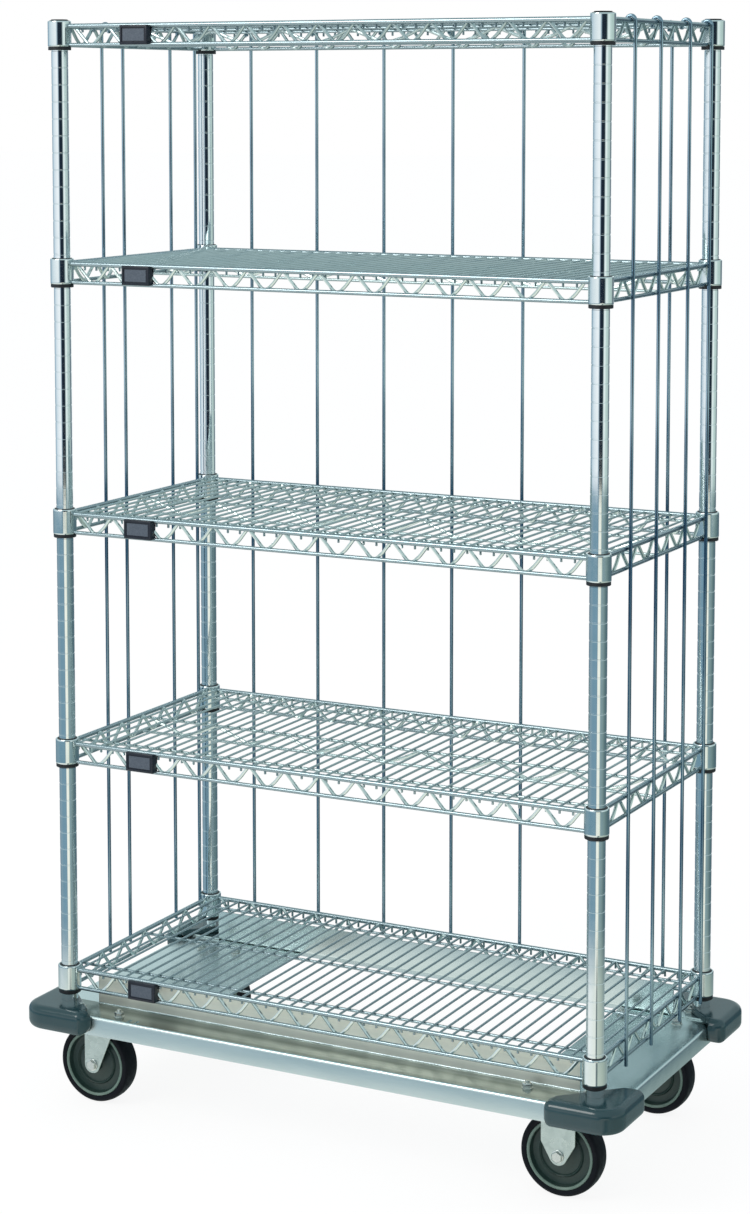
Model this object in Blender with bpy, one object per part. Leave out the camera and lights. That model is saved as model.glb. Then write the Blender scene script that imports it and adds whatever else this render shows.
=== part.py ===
# Wire enclosure cart: five wire shelves on four grooved posts, closed on three
# sides by hanging rods, on a sheet metal dolly with two swivel and two rigid casters.
# Metres, +Z up, the open front faces -Y and the swivel end is at -X.
# The origin is on the floor under the middle of the cart.

from math import acos, atan2, cos, hypot, pi, radians, sin

import bmesh
import bpy
from mathutils import Matrix, Vector

# Running and seating gap between separate pieces
GAP = 0.0003

# Shelf size over its corner collars
SHELF_LENGTH = 0.9144
SHELF_DEPTH = 0.4572

# Posts, their grooves and the plastic sleeves that carry the shelves
POST_RADIUS = 0.0127
POST_WALL = 0.0013
GROOVE_PITCH = 0.0254
SHELF_GROOVES = (0, 14, 28, 43, 57)
SHELF_NAMES = ("bottom", "lower", "middle", "upper", "top")
SLEEVE_WALL = 0.0023
SLEEVE_LIP_WALL = 0.0045
SLEEVE_LIP_HEIGHT = 0.0035
SLEEVE_STAND_UP = 0.0008
CAP_HEAD = 0.0015
CAP_PLUG_DEPTH = 0.012
CAP_INSET = 0.0004

# Corner collars of a shelf
COLLAR_RADIUS = 0.01775
COLLAR_HEIGHT = 0.038
BOTTOM_SHELF_RISE = 0.0656

# Shelf wires
RIM_HEIGHT = 0.006
RIM_WIDTH = 0.0054
RIM_BELOW_COLLAR_TOP = 0.0077
TRUSS_DROP = 0.028
TRUSS_WIDTH = 0.0044
TRUSS_CHORD_HEIGHT = 0.0044
BRACE_WIDTH = 0.0046
BRACE_PERIOD = 0.122
DECK_WIRE_WIDTH = 0.0036
DECK_WIRE_COUNT = 20
DECK_WIRE_FROM_POST = 0.04805
SPINE_WIDTH = 0.009

# Hanging rods that close the back and the two ends
ROD_RADIUS = 0.0027
ROD_SIDES = 6
BACK_ROD_COUNT = 7
BACK_ROD_FROM_POST = 0.07465
BACK_ROD_SHIFT = 0.0075
RIGHT_ROD_SHARES = (-0.53, -0.07, 0.475, 0.89)
LEFT_ROD_SHARES = (-0.41, -0.13, 0.53, 0.89)
ROD_HOOK_TAIL = 0.007
SHORT_ROD_OVERRUN = 0.010
LONG_ROD_OVERRUN = 0.037
HOOK_STEPS = 4

# Dolly of folded sheet metal
DOLLY_OVERHANG = 0.031
DOLLY_SHEET = 0.0025
FLANGE_DROP = 0.029
LEDGE_WIDTH = 0.062
UPSTAND_HEIGHT = 0.046
UPSTAND_FROM_END = 0.06545
DOLLY_CORNER_CUT = 0.012
LEFT_PLATE_WIDTH = 0.2205
RIGHT_PAN_WIDTH = 0.1525

# Vinyl corner bumpers
BUMPER_THICKNESS = 0.025
BUMPER_ABOVE_LEDGE = 0.010
BUMPER_LIP = 0.006
BUMPER_ROUND = 0.011
BUMPER_ARM = 0.065
BUMPER_END_ROUND = 0.014
GUSSET_REACH = 0.068
BUMPER_RISE = 0.002

# Label holders on the front of each shelf
LABEL_LENGTH = 0.048
LABEL_HEIGHT = 0.029
LABEL_THICKNESS = 0.006
LABEL_RECESS = 0.0015
LABEL_BORDER = 0.0045
LABEL_FROM_POST = 0.1355

# Casters
WHEEL_CLEARANCE = 0.0091
WHEEL_WIDTH = 0.032
WHEEL_SEGMENTS = 16
TYRE_THICKNESS = 0.0105
TYRE_SHOULDER = 0.005
RIM_THICKNESS = 0.006
RIM_SETBACK = 0.001
WEB_THICKNESS = 0.008
BOSS_RADIUS = 0.011
AXLE_RADIUS = 0.005
AXLE_HEAD_RADIUS = 0.0095
AXLE_HEAD_HEIGHT = 0.005
FORK_SHEET = 0.003
FORK_GAP = 0.0025
CASTER_HEIGHT = 0.1514
CASTER_PLATE = 0.003
CASTER_FROM_SIDE = 0.06585
RIGID_FROM_END = 0.09245
RIGID_PLATE_X = 0.114
RIGID_PLATE_Y = 0.078
RIGID_LEG_HALF_WIDTH = 0.0265
RIGID_LEG_SHOULDER = 0.019
LEG_FOOT_RADIUS = 0.0135
SWIVEL_FROM_END = 0.09345
SWIVEL_TRAIL = 0.032
SWIVEL_PLATE_X = 0.092
SWIVEL_PLATE_Y = 0.112
RACE_RADIUS = 0.024
RACE_HEIGHT = 0.005
CROWN_RADIUS = 0.031
CROWN_HEIGHT = 0.007
KINGPIN_RADIUS = 0.006
KINGPIN_OVERRUN = 0.002
LEG_FRONT_REACH = 0.013

# Rounding of turned pieces
POST_SEGMENTS = 12
BOLT_SEGMENTS = 12
CROWN_SEGMENTS = 16

# Places worked out from the sizes above
post_x = SHELF_LENGTH / 2 - COLLAR_RADIUS
post_y = SHELF_DEPTH / 2 - COLLAR_RADIUS
dolly_x = post_x + DOLLY_OVERHANG
dolly_y = post_y + DOLLY_OVERHANG
pan_bottom = CASTER_HEIGHT + GAP
pan_top = pan_bottom + DOLLY_SHEET
ledge_bottom = pan_top + GAP
ledge_top = ledge_bottom + DOLLY_SHEET
shelf_tops = [ledge_top + BOTTOM_SHELF_RISE + groove * GROOVE_PITCH for groove in SHELF_GROOVES]
sleeve_radius = POST_RADIUS + SLEEVE_WALL
bore_radius = sleeve_radius + GAP
hook_radius = hypot(RIM_WIDTH, RIM_HEIGHT) / 2 + GAP + ROD_RADIUS
leg_inner = WHEEL_WIDTH / 2 + FORK_GAP
leg_outer = leg_inner + FORK_SHEET
crown_top = CASTER_HEIGHT - CASTER_PLATE - RACE_HEIGHT - GAP
crown_bottom = crown_top - CROWN_HEIGHT
web_bottom = crown_bottom - FORK_SHEET
wheel_radius = (web_bottom - WHEEL_CLEARANCE) / 2
deck_wire_pitch = 2 * (post_x - DECK_WIRE_FROM_POST) / (DECK_WIRE_COUNT - 1)
back_rod_pitch = 2 * (post_x - BACK_ROD_FROM_POST) / (BACK_ROD_COUNT - 1)
upstand_half = dolly_x - UPSTAND_FROM_END
rigid_x = dolly_x - RIGID_FROM_END
swivel_x = -dolly_x + SWIVEL_FROM_END
caster_y = dolly_y - CASTER_FROM_SIDE
CORNERS = {
    "front_left": (-1, -1),
    "front_right": (1, -1),
    "back_left": (-1, 1),
    "back_right": (1, 1),
}


def clear_scene():
    for old in list(bpy.data.objects):
        bpy.data.objects.remove(old, do_unlink=True)


def make_material(name, colour, roughness, metallic):
    material = bpy.data.materials.new(name)
    material.use_nodes = True
    shader = material.node_tree.nodes["Principled BSDF"]
    shader.inputs["Base Color"].default_value = (*colour, 1)
    shader.inputs["Roughness"].default_value = roughness
    shader.inputs["Metallic"].default_value = metallic
    material.diffuse_color = (*colour, 1)
    return material


def mesh_from(bm, name):
    bmesh.ops.recalc_face_normals(bm, faces=bm.faces)
    mesh = bpy.data.meshes.new(name)
    bm.to_mesh(mesh)
    bm.free()
    return mesh


def place(name, mesh, material, location=(0, 0, 0), parent=None, turn=None, smooth=False):
    """Put a mesh into the scene as a named piece."""
    piece = bpy.data.objects.new(name, mesh)
    bpy.context.scene.collection.objects.link(piece)
    mesh.materials.clear()
    mesh.materials.append(material)
    if smooth:
        mesh.shade_smooth()
        mesh.set_sharp_from_angle(angle=radians(35))
    piece.location = location
    if turn:
        piece.rotation_euler = turn
    if parent:
        piece.parent = parent
    return piece


def empty(name, location, parent=None):
    guide = bpy.data.objects.new(name, None)
    bpy.context.scene.collection.objects.link(guide)
    guide.empty_display_size = wheel_radius
    guide.location = location
    if parent:
        guide.parent = parent
    return guide


def turned(profile, segments, closed=True):
    """Turn (radius, height) points about Z. A closed profile makes a ring."""
    bm = bmesh.new()
    rings = []
    for radius, height in profile:
        ring = []
        for step in range(segments):
            angle = 2 * pi * (step + 1 / 2) / segments
            ring.append(bm.verts.new((radius * cos(angle), radius * sin(angle), height)))
        rings.append(ring)
    pairs = list(zip(rings, rings[1:]))
    if closed:
        pairs.append((rings[-1], rings[0]))
    for low, high in pairs:
        for step in range(segments):
            after = (step + 1) % segments
            bm.faces.new((low[step], low[after], high[after], high[step]))
    if not closed:
        bm.faces.new(rings[0])
        bm.faces.new(rings[-1])
    return bm


def flat_sided(radius, segments):
    """Corner radius of a turned piece whose flats lie at the given radius."""
    return radius / cos(pi / segments)


def box(low, high):
    bm = bmesh.new()
    bmesh.ops.create_cube(bm, size=1)
    size = Vector(high) - Vector(low)
    middle = (Vector(high) + Vector(low)) / 2
    stretch = Matrix.Translation(middle) @ Matrix.Diagonal((*size, 1))
    bmesh.ops.transform(bm, matrix=stretch, verts=bm.verts)
    return bm


def plate(outline, low, high):
    """Extrude an XY outline from height low to height high."""
    bm = bmesh.new()
    face = bm.faces.new([bm.verts.new((x, y, low)) for x, y in outline])
    grown = bmesh.ops.extrude_face_region(bm, geom=[face])
    lifted = [item for item in grown["geom"] if isinstance(item, bmesh.types.BMVert)]
    bmesh.ops.translate(bm, verts=lifted, vec=(0, 0, high - low))
    return bm


def lattice(cells, low, high):
    """Extrude a flat pattern of polygons that share their corners."""
    bm = bmesh.new()
    corners = {}
    for cell in cells:
        verts = []
        for x, y in cell:
            key = (round(x, 7), round(y, 7))
            if key not in corners:
                corners[key] = bm.verts.new((x, y, low))
            verts.append(corners[key])
        bm.faces.new(verts)
    grown = bmesh.ops.extrude_face_region(bm, geom=list(bm.faces))
    lifted = [item for item in grown["geom"] if isinstance(item, bmesh.types.BMVert)]
    bmesh.ops.translate(bm, verts=lifted, vec=(0, 0, high - low))
    bmesh.ops.recalc_face_normals(bm, faces=bm.faces)
    bmesh.ops.dissolve_limit(bm, angle_limit=radians(0.5), verts=bm.verts, edges=bm.edges)
    return bm


def turned_about(bm, matrix):
    bmesh.ops.transform(bm, matrix=matrix, verts=bm.verts)
    return bm


def combined(name, joined, cut=()):
    """Union of the first shapes, less the cutting shapes, as one mesh."""
    scratch = []

    def helper(bm, label):
        item = bpy.data.objects.new(label, mesh_from(bm, label))
        item.hide_render = True
        item.display_type = "WIRE"
        scratch.append(item)
        return item

    body = helper(joined[0], name + "_body")
    bpy.context.scene.collection.objects.link(body)
    groups = []
    for operation, shapes in (("UNION", joined[1:]), ("DIFFERENCE", cut)):
        if not shapes:
            continue
        group = bpy.data.collections.new(name + "_" + operation.lower())
        for shape in shapes:
            group.objects.link(helper(shape, name + "_tool"))
        bpy.context.scene.collection.children.link(group)
        groups.append(group)
        step = body.modifiers.new(operation, "BOOLEAN")
        step.operation = operation
        step.operand_type = "COLLECTION"
        step.collection = group
        step.solver = "EXACT"
    graph = bpy.context.evaluated_depsgraph_get()
    mesh = bpy.data.meshes.new_from_object(body.evaluated_get(graph))
    mesh.name = name
    for item in scratch:
        bpy.data.objects.remove(item, do_unlink=True)
    for group in groups:
        bpy.data.collections.remove(group)
    return mesh


def rod(path, radius, sides):
    """Round rod along a path that stays in one vertical plane."""
    bm = bmesh.new()
    points = [Vector(point) for point in path]
    run = Vector((points[-1].x - points[0].x, points[-1].y - points[0].y, 0))
    across = Vector((0, 0, 1)).cross(run).normalized()
    rings = []
    for index, point in enumerate(points):
        before = (point - points[index - 1]).normalized() if index else None
        after = (points[index + 1] - point).normalized() if index + 1 < len(points) else None
        along = ((before or after) + (after or before)).normalized()
        spread = 1 / along.dot(after or before)
        normal = across.cross(along).normalized() * spread
        ring = []
        for step in range(sides):
            angle = 2 * pi * step / sides
            ring.append(bm.verts.new(point + radius * (cos(angle) * across + sin(angle) * normal)))
        rings.append(ring)
    for low, high in zip(rings, rings[1:]):
        for step in range(sides):
            after = (step + 1) % sides
            bm.faces.new((low[step], low[after], high[after], high[step]))
    bm.faces.new(rings[0])
    bm.faces.new(rings[-1])
    return bm


def tangent_angle(centre, radius, point, side):
    """Angle on a circle where a line from an outside point touches it."""
    away = (point[0] - centre[0], point[1] - centre[1])
    return atan2(away[1], away[0]) + side * acos(radius / hypot(*away))


def leg_outline(axle, left, right, steps=6):
    """Fork leg: down the left points, round the axle, up the right points."""
    start = tangent_angle(axle, LEG_FOOT_RADIUS, left[-1], 1)
    stop = tangent_angle(axle, LEG_FOOT_RADIUS, right[0], -1)
    while stop < start:
        stop += 2 * pi
    foot = []
    for step in range(steps + 1):
        angle = start + (stop - start) * step / steps
        foot.append((axle[0] + LEG_FOOT_RADIUS * cos(angle), axle[1] + LEG_FOOT_RADIUS * sin(angle)))
    return [*left, *foot, *right]


def upright(bm, y=0):
    """Stand an XY outline up, so that its Y becomes height and its Z becomes -Y."""
    return turned_about(bm, Matrix.Translation((0, y, 0)) @ Matrix.Rotation(pi / 2, 4, "X"))


def build_posts(frame, chrome):
    profile = [(POST_RADIUS - POST_WALL, ledge_top + GAP), (POST_RADIUS, ledge_top + GAP)]
    lip_radius = POST_RADIUS + SLEEVE_LIP_WALL
    for top in shelf_tops:
        lip_top = top - COLLAR_HEIGHT - GAP
        lip_bottom = lip_top - SLEEVE_LIP_HEIGHT
        sleeve_top = top + SLEEVE_STAND_UP
        profile += [(POST_RADIUS, lip_bottom), (lip_radius, lip_bottom), (lip_radius, lip_top)]
        profile += [(sleeve_radius, lip_top), (sleeve_radius, sleeve_top)]
        if top != shelf_tops[-1]:
            profile.append((POST_RADIUS, sleeve_top))
    profile.append((POST_RADIUS - POST_WALL, shelf_tops[-1] + SLEEVE_STAND_UP))
    mesh = mesh_from(turned(profile, POST_SEGMENTS), "post")
    for corner, (sx, sy) in CORNERS.items():
        place("post_" + corner, mesh, chrome, (sx * post_x, sy * post_y, 0), frame, smooth=True)


def build_caps(frame, plastic):
    plug = POST_RADIUS - POST_WALL - CAP_INSET
    profile = [(plug, -CAP_PLUG_DEPTH), (plug, GAP), (POST_RADIUS, GAP), (POST_RADIUS, CAP_HEAD)]
    mesh = mesh_from(turned(profile, POST_SEGMENTS, closed=False), "post_cap")
    for corner, (sx, sy) in CORNERS.items():
        seat = (sx * post_x, sy * post_y, shelf_tops[-1] + SLEEVE_STAND_UP)
        place("post_cap_" + corner, mesh, plastic, seat, frame, smooth=True)


def deck_cells():
    """Solid cells of the deck: a rim, the cross wires and a spine down the middle."""
    half = RIM_WIDTH / 2
    columns = [(-post_x - half, -post_x + half)]
    for index in range(DECK_WIRE_COUNT):
        middle = (index - (DECK_WIRE_COUNT - 1) / 2) * deck_wire_pitch
        columns.append((middle - DECK_WIRE_WIDTH / 2, middle + DECK_WIRE_WIDTH / 2))
    columns.append((post_x - half, post_x + half))
    rows = [
        (-post_y - half, -post_y + half),
        (-SPINE_WIDTH / 2, SPINE_WIDTH / 2),
        (post_y - half, post_y + half),
    ]
    xs = [edge for column in columns for edge in column]
    ys = [edge for row in rows for edge in row]
    cells = []
    for i, (x0, x1) in enumerate(zip(xs, xs[1:])):
        for j, (y0, y1) in enumerate(zip(ys, ys[1:])):
            if i % 2 == 0 or j % 2 == 0:
                cells.append([(x0, y0), (x1, y0), (x1, y1), (x0, y1)])
    return cells


def truss_cells(length):
    """Side truss drawn flat: its upper chord lies inside the rim, braces zigzag below."""
    top_high, top_low = TRUSS_CHORD_HEIGHT / 4, -TRUSS_CHORD_HEIGHT / 4
    low_high = -TRUSS_DROP + TRUSS_CHORD_HEIGHT / 2
    low_low = -TRUSS_DROP - TRUSS_CHORD_HEIGHT / 2
    periods = round((length - 2 * COLLAR_RADIUS) / BRACE_PERIOD)
    step = (length - 2 * COLLAR_RADIUS) / periods / 2
    first = -step * periods
    upper, lower, cells = [], [], []
    for index in range(2 * periods + 1):
        middle = first + index * step
        ends = [middle - BRACE_WIDTH, middle, middle + BRACE_WIDTH]
        if index == 0:
            ends = ends[1:]
        if index == 2 * periods:
            ends = ends[:-1]
        (upper if index % 2 == 0 else lower).append(ends)
    for index in range(2 * periods):
        if index % 2 == 0:
            above, below = upper[index // 2][-2:], lower[index // 2][:2]
        else:
            above, below = upper[index // 2 + 1][:2], lower[index // 2][-2:]
        foot = [(below[0], low_high), (below[1], low_high)]
        cells.append([*foot, (above[1], top_low), (above[0], top_low)])
    upper_points = [(x, top_low) for ends in upper for x in ends]
    lower_points = [(x, low_high) for ends in lower for x in ends]
    half = length / 2
    top_edge = [(half, top_high), (-half, top_high)]
    cells.append([(-half, top_low), *upper_points, (half, top_low), *top_edge])
    bottom_edge = [(-half, low_low), (half, low_low)]
    cells.append([*bottom_edge, (half, low_high), *reversed(lower_points), (-half, low_high)])
    return cells


def build_shelves(frame, chrome):
    """One welded shelf shape, hung five times on the posts."""
    rim_middle = -RIM_BELOW_COLLAR_TOP
    shapes = [lattice(deck_cells(), rim_middle - RIM_HEIGHT / 2, rim_middle + RIM_HEIGHT / 2)]
    sides = (
        (2 * post_x, 0, (0, post_y)),
        (2 * post_x, 0, (0, -post_y)),
        (2 * post_y, pi / 2, (post_x, 0)),
        (2 * post_y, pi / 2, (-post_x, 0)),
    )
    for length, turn, (x, y) in sides:
        truss = lattice(truss_cells(length), -TRUSS_WIDTH / 2, TRUSS_WIDTH / 2)
        stand = Matrix.Translation((x, y, rim_middle)) @ Matrix.Rotation(turn, 4, "Z")
        shapes.append(turned_about(truss, stand @ Matrix.Rotation(pi / 2, 4, "X")))
    collar = [(COLLAR_RADIUS, -COLLAR_HEIGHT), (COLLAR_RADIUS, 0)]
    bore = [(bore_radius, -2 * COLLAR_HEIGHT), (bore_radius, COLLAR_HEIGHT)]
    bores = []
    for sx, sy in CORNERS.values():
        stand = Matrix.Translation((sx * post_x, sy * post_y, 0))
        shapes.append(turned_about(turned(collar, POST_SEGMENTS, closed=False), stand))
        bores.append(turned_about(turned(bore, POST_SEGMENTS, closed=False), stand))
    mesh = combined("shelf", shapes, bores)
    for name, top in zip(SHELF_NAMES, shelf_tops):
        place("shelf_" + name, mesh, chrome, (0, 0, top), frame)


def hook_path(outward, drop):
    """Rod that hooks over a rim at the origin and hangs down on its outer side."""
    path = [(-outward * hook_radius, -ROD_HOOK_TAIL)]
    for step in range(HOOK_STEPS + 1):
        angle = pi * (1 - step / HOOK_STEPS)
        path.append((outward * hook_radius * cos(angle), hook_radius * sin(angle)))
    path.append((outward * hook_radius, -drop))
    return path


def build_rods(frame, chrome):
    rim = shelf_tops[-1] - RIM_BELOW_COLLAR_TOP
    span = shelf_tops[-1] - shelf_tops[0]
    back = [(0, y, z) for y, z in hook_path(1, span + SHORT_ROD_OVERRUN)]
    mesh = mesh_from(rod(back, ROD_RADIUS, ROD_SIDES), "back_rod")
    for index in range(BACK_ROD_COUNT):
        x = BACK_ROD_SHIFT + (index - (BACK_ROD_COUNT - 1) / 2) * back_rod_pitch
        place("back_rod_" + str(index + 1), mesh, chrome, (x, post_y, rim), frame, smooth=True)
    ends = (
        ("left_rod_", -1, LEFT_ROD_SHARES, SHORT_ROD_OVERRUN),
        ("right_rod_", 1, RIGHT_ROD_SHARES, LONG_ROD_OVERRUN),
    )
    for name, side, shares, overrun in ends:
        path = [(x, 0, z) for x, z in hook_path(side, span + overrun)]
        mesh = mesh_from(rod(path, ROD_RADIUS, ROD_SIDES), name + "mesh")
        for index, share in enumerate(shares):
            seat = (side * post_x, share * post_y, rim)
            place(name + str(index + 1), mesh, chrome, seat, frame, smooth=True)


def build_rails(frame, sheet):
    """Front and back rails: a ledge, an outer flange and an upstand behind the shelf."""
    cut = DOLLY_CORNER_CUT
    inner = dolly_y - LEDGE_WIDTH
    ledge = [(-dolly_x, -dolly_y + cut), (-dolly_x + cut, -dolly_y), (dolly_x - cut, -dolly_y)]
    ledge += [(dolly_x, -dolly_y + cut), (dolly_x, -inner), (-dolly_x, -inner)]
    flange_low = ledge_top - FLANGE_DROP
    middle = ledge_top - DOLLY_SHEET / 2
    shapes = [
        plate(ledge, ledge_bottom, ledge_top),
        box((-dolly_x + cut, -dolly_y, flange_low), (dolly_x - cut, -dolly_y + DOLLY_SHEET, middle)),
        box(
            (-upstand_half, -inner - DOLLY_SHEET, middle),
            (upstand_half, -inner, ledge_top + UPSTAND_HEIGHT),
        ),
    ]
    mesh = combined("dolly_rail", shapes)
    place("dolly_front_rail", mesh, sheet, parent=frame)
    place("dolly_back_rail", mesh, sheet, parent=frame, turn=(0, 0, pi))


def build_end_pans(frame, sheet):
    """End pans lie under both rails, with a flange folded down at the outer end."""
    reach = dolly_y - DOLLY_SHEET - GAP
    cut = DOLLY_CORNER_CUT
    pans = (("dolly_left_plate", -1, LEFT_PLATE_WIDTH), ("dolly_right_pan", 1, RIGHT_PAN_WIDTH))
    for name, side, width in pans:
        outer, inner = dolly_x, dolly_x - width
        pan = [(side * inner, -reach), (side * (outer - cut), -reach), (side * outer, -reach + cut)]
        pan += [(side * outer, reach - cut), (side * (outer - cut), reach), (side * inner, reach)]
        near, far = sorted((side * (outer - DOLLY_SHEET), side * outer))
        middle = pan_top - DOLLY_SHEET / 2
        flange = box((near, -reach + cut, ledge_top - FLANGE_DROP), (far, reach - cut, middle))
        place(name, combined(name, [plate(pan, pan_bottom, pan_top), flange]), sheet, parent=frame)


def bumper_section():
    """Outline of a bumper across its arm: outward distance and height."""
    low = ledge_top - FLANGE_DROP + BUMPER_RISE
    high = ledge_top + BUMPER_ABOVE_LEDGE
    out = BUMPER_THICKNESS
    turn = BUMPER_ROUND
    points = [(GAP, low), (out - turn, low)]
    for angle in (radians(45), radians(90)):
        points.append((out - turn + turn * sin(angle), low + turn - turn * cos(angle)))
    for angle in (0, radians(45), radians(90)):
        points.append((out - turn + turn * cos(angle), high - turn + turn * sin(angle)))
    return points + [(GAP, high)]


def corner_point(out, angle):
    """Point of the bumper's bend, at a distance out from the dolly's rounded corner."""
    reach = DOLLY_CORNER_CUT + out
    return (reach * sin(angle), DOLLY_CORNER_CUT - reach * cos(angle))


def bumper_sweep():
    """L-shaped body of a bumper, its arm ends rounded off."""
    section = bumper_section()
    heights = [height for _, height in section]
    middle = (min(heights) + max(heights)) / 2
    cut = DOLLY_CORNER_CUT
    bm = bmesh.new()
    rings = []

    def ring(place_at, share):
        made = []
        for out, height in section:
            shown_out = GAP + (out - GAP) * share
            made.append(bm.verts.new((*place_at(shown_out), middle + (height - middle) * share)))
        rings.append(made)

    end_shares = ((1, 0.35), (0.9, 0.75), (0.6, 0.95), (0, 1))
    for reach_share, share in end_shares:
        along = BUMPER_ARM + BUMPER_END_ROUND * reach_share
        ring(lambda out, along=along: (-along, -out), share)
    for index in range(5):
        ring(lambda out, angle=radians(90) * index / 4: corner_point(out, angle), 1)
    for reach_share, share in reversed(end_shares):
        along = BUMPER_ARM + BUMPER_END_ROUND * reach_share
        ring(lambda out, along=along: (cut + out, cut + along), share)
    for first, second in zip(rings, rings[1:]):
        for index in range(len(section)):
            after = (index + 1) % len(section)
            bm.faces.new((first[index], first[after], second[after], second[index]))
    bm.faces.new(rings[0])
    bm.faces.new(rings[-1])
    return bm


def bumper_gusset():
    """Top web of a bumper: it lies on the ledge inside the corner, round the post's foot."""
    inset = BUMPER_THICKNESS / 4
    cut = DOLLY_CORNER_CUT
    outline = [(-GUSSET_REACH, -inset)]
    outline += [corner_point(inset, radians(90) * index / 4) for index in range(5)]
    outline += [(cut + inset, cut + GUSSET_REACH), (cut - BUMPER_LIP, cut + GUSSET_REACH)]
    outline.append((-GUSSET_REACH, BUMPER_LIP))
    return plate(outline, ledge_top + GAP, ledge_top + BUMPER_ABOVE_LEDGE)


def build_bumpers(frame, vinyl):
    """Each bumper is held in its corner by the post that stands through its gusset."""
    cut = DOLLY_CORNER_CUT
    hole_radius = POST_RADIUS + GAP
    hole = turned([(hole_radius, pan_bottom), (hole_radius, shelf_tops[0])], POST_SEGMENTS, closed=False)
    hole = turned_about(hole, Matrix.Translation((cut - DOLLY_OVERHANG, DOLLY_OVERHANG, 0)))
    shape = combined("bumper", [bumper_sweep(), bumper_gusset()], [hole])
    for corner, (sx, sy) in CORNERS.items():
        bm = bmesh.new()
        bm.from_mesh(shape)
        bmesh.ops.scale(bm, vec=(sx, -sy, 1), verts=bm.verts)
        seat_at = (sx * (dolly_x - cut), sy * dolly_y, 0)
        place("bumper_" + corner, mesh_from(bm, "bumper_" + corner), vinyl, seat_at, frame, smooth=True)


def build_labels(frame, plastic):
    half = (LABEL_LENGTH / 2, LABEL_HEIGHT / 2)
    bm = box((-half[0], -LABEL_THICKNESS, -half[1]), (half[0], 0, half[1]))
    front = min(bm.faces, key=lambda face: face.calc_center_median().y)
    bmesh.ops.inset_region(bm, faces=[front], thickness=LABEL_BORDER)
    bmesh.ops.translate(bm, verts=front.verts, vec=(0, LABEL_RECESS, 0))
    mesh = mesh_from(bm, "label_holder")
    y = -post_y - RIM_WIDTH / 2 - GAP
    for name, top in zip(SHELF_NAMES, shelf_tops):
        seat = (LABEL_FROM_POST - post_x, y, top - RIM_BELOW_COLLAR_TOP - TRUSS_DROP / 2)
        place("label_holder_" + name, mesh, plastic, seat, frame)


def wheel_meshes():
    core = wheel_radius - TYRE_THICKNESS
    half = WHEEL_WIDTH / 2
    tread = flat_sided(wheel_radius, WHEEL_SEGMENTS)
    shoulder = flat_sided(wheel_radius - TYRE_SHOULDER, WHEEL_SEGMENTS)
    tyre = [(core, -half), (shoulder, -half), (tread, -half + TYRE_SHOULDER)]
    tyre += [(tread, half - TYRE_SHOULDER), (shoulder, half), (core, half)]
    rim_out = core - GAP
    rim_in = rim_out - RIM_THICKNESS
    bore = AXLE_RADIUS + GAP
    edge = half - RIM_SETBACK
    boss = leg_inner - GAP
    web = WEB_THICKNESS / 2
    lower = [(bore, -boss), (BOSS_RADIUS, -boss), (BOSS_RADIUS, -web), (rim_in, -web)]
    lower += [(rim_in, -edge), (rim_out, -edge)]
    hub = lower + [(radius, -height) for radius, height in reversed(lower)]
    return (
        mesh_from(turned(hub, WHEEL_SEGMENTS), "wheel_hub"),
        mesh_from(turned(tyre, WHEEL_SEGMENTS), "wheel_tyre"),
    )


def axle_bolt_mesh():
    face = leg_outer + GAP
    head = face + AXLE_HEAD_HEIGHT
    profile = [(AXLE_HEAD_RADIUS, -head), (AXLE_HEAD_RADIUS, -face), (AXLE_RADIUS, -face)]
    profile += [(radius, -height) for radius, height in reversed(profile)]
    return mesh_from(turned(profile, BOLT_SEGMENTS, closed=False), "axle_bolt")


def axle_cutter(x):
    profile = [(AXLE_RADIUS + GAP, -2 * leg_outer), (AXLE_RADIUS + GAP, 2 * leg_outer)]
    stand = Matrix.Translation((x, 0, wheel_radius)) @ Matrix.Rotation(pi / 2, 4, "X")
    return turned_about(turned(profile, BOLT_SEGMENTS, closed=False), stand)


def fork_legs(outline):
    near = upright(plate(outline, leg_inner, leg_outer))
    far = upright(plate(outline, -leg_outer, -leg_inner))
    return [near, far]


def rigid_fork_mesh():
    top = CASTER_HEIGHT - CASTER_PLATE / 2
    half = RIGID_LEG_HALF_WIDTH
    knee = wheel_radius + RIGID_LEG_SHOULDER
    outline = leg_outline((0, wheel_radius), [(-half, top), (-half, knee)], [(half, knee), (half, top)])
    low = (-RIGID_PLATE_X / 2, -RIGID_PLATE_Y / 2, CASTER_HEIGHT - CASTER_PLATE)
    high = (RIGID_PLATE_X / 2, RIGID_PLATE_Y / 2, CASTER_HEIGHT)
    return combined("rigid_fork", [box(low, high), *fork_legs(outline)], [axle_cutter(0)])


def swivel_plate_mesh():
    """Caster top plate with its fixed ball race and kingpin."""
    underside = CASTER_HEIGHT - CASTER_PLATE
    low = (-SWIVEL_PLATE_X / 2, -SWIVEL_PLATE_Y / 2, underside)
    high = (SWIVEL_PLATE_X / 2, SWIVEL_PLATE_Y / 2, CASTER_HEIGHT)
    race_bottom = underside - RACE_HEIGHT
    pin_bottom = web_bottom - KINGPIN_OVERRUN
    inside = underside + CASTER_PLATE / 2
    profile = [(KINGPIN_RADIUS, pin_bottom), (KINGPIN_RADIUS, race_bottom)]
    profile += [(RACE_RADIUS, race_bottom), (RACE_RADIUS, inside)]
    return combined("swivel_plate", [box(low, high), turned(profile, CROWN_SEGMENTS, closed=False)])


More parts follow.
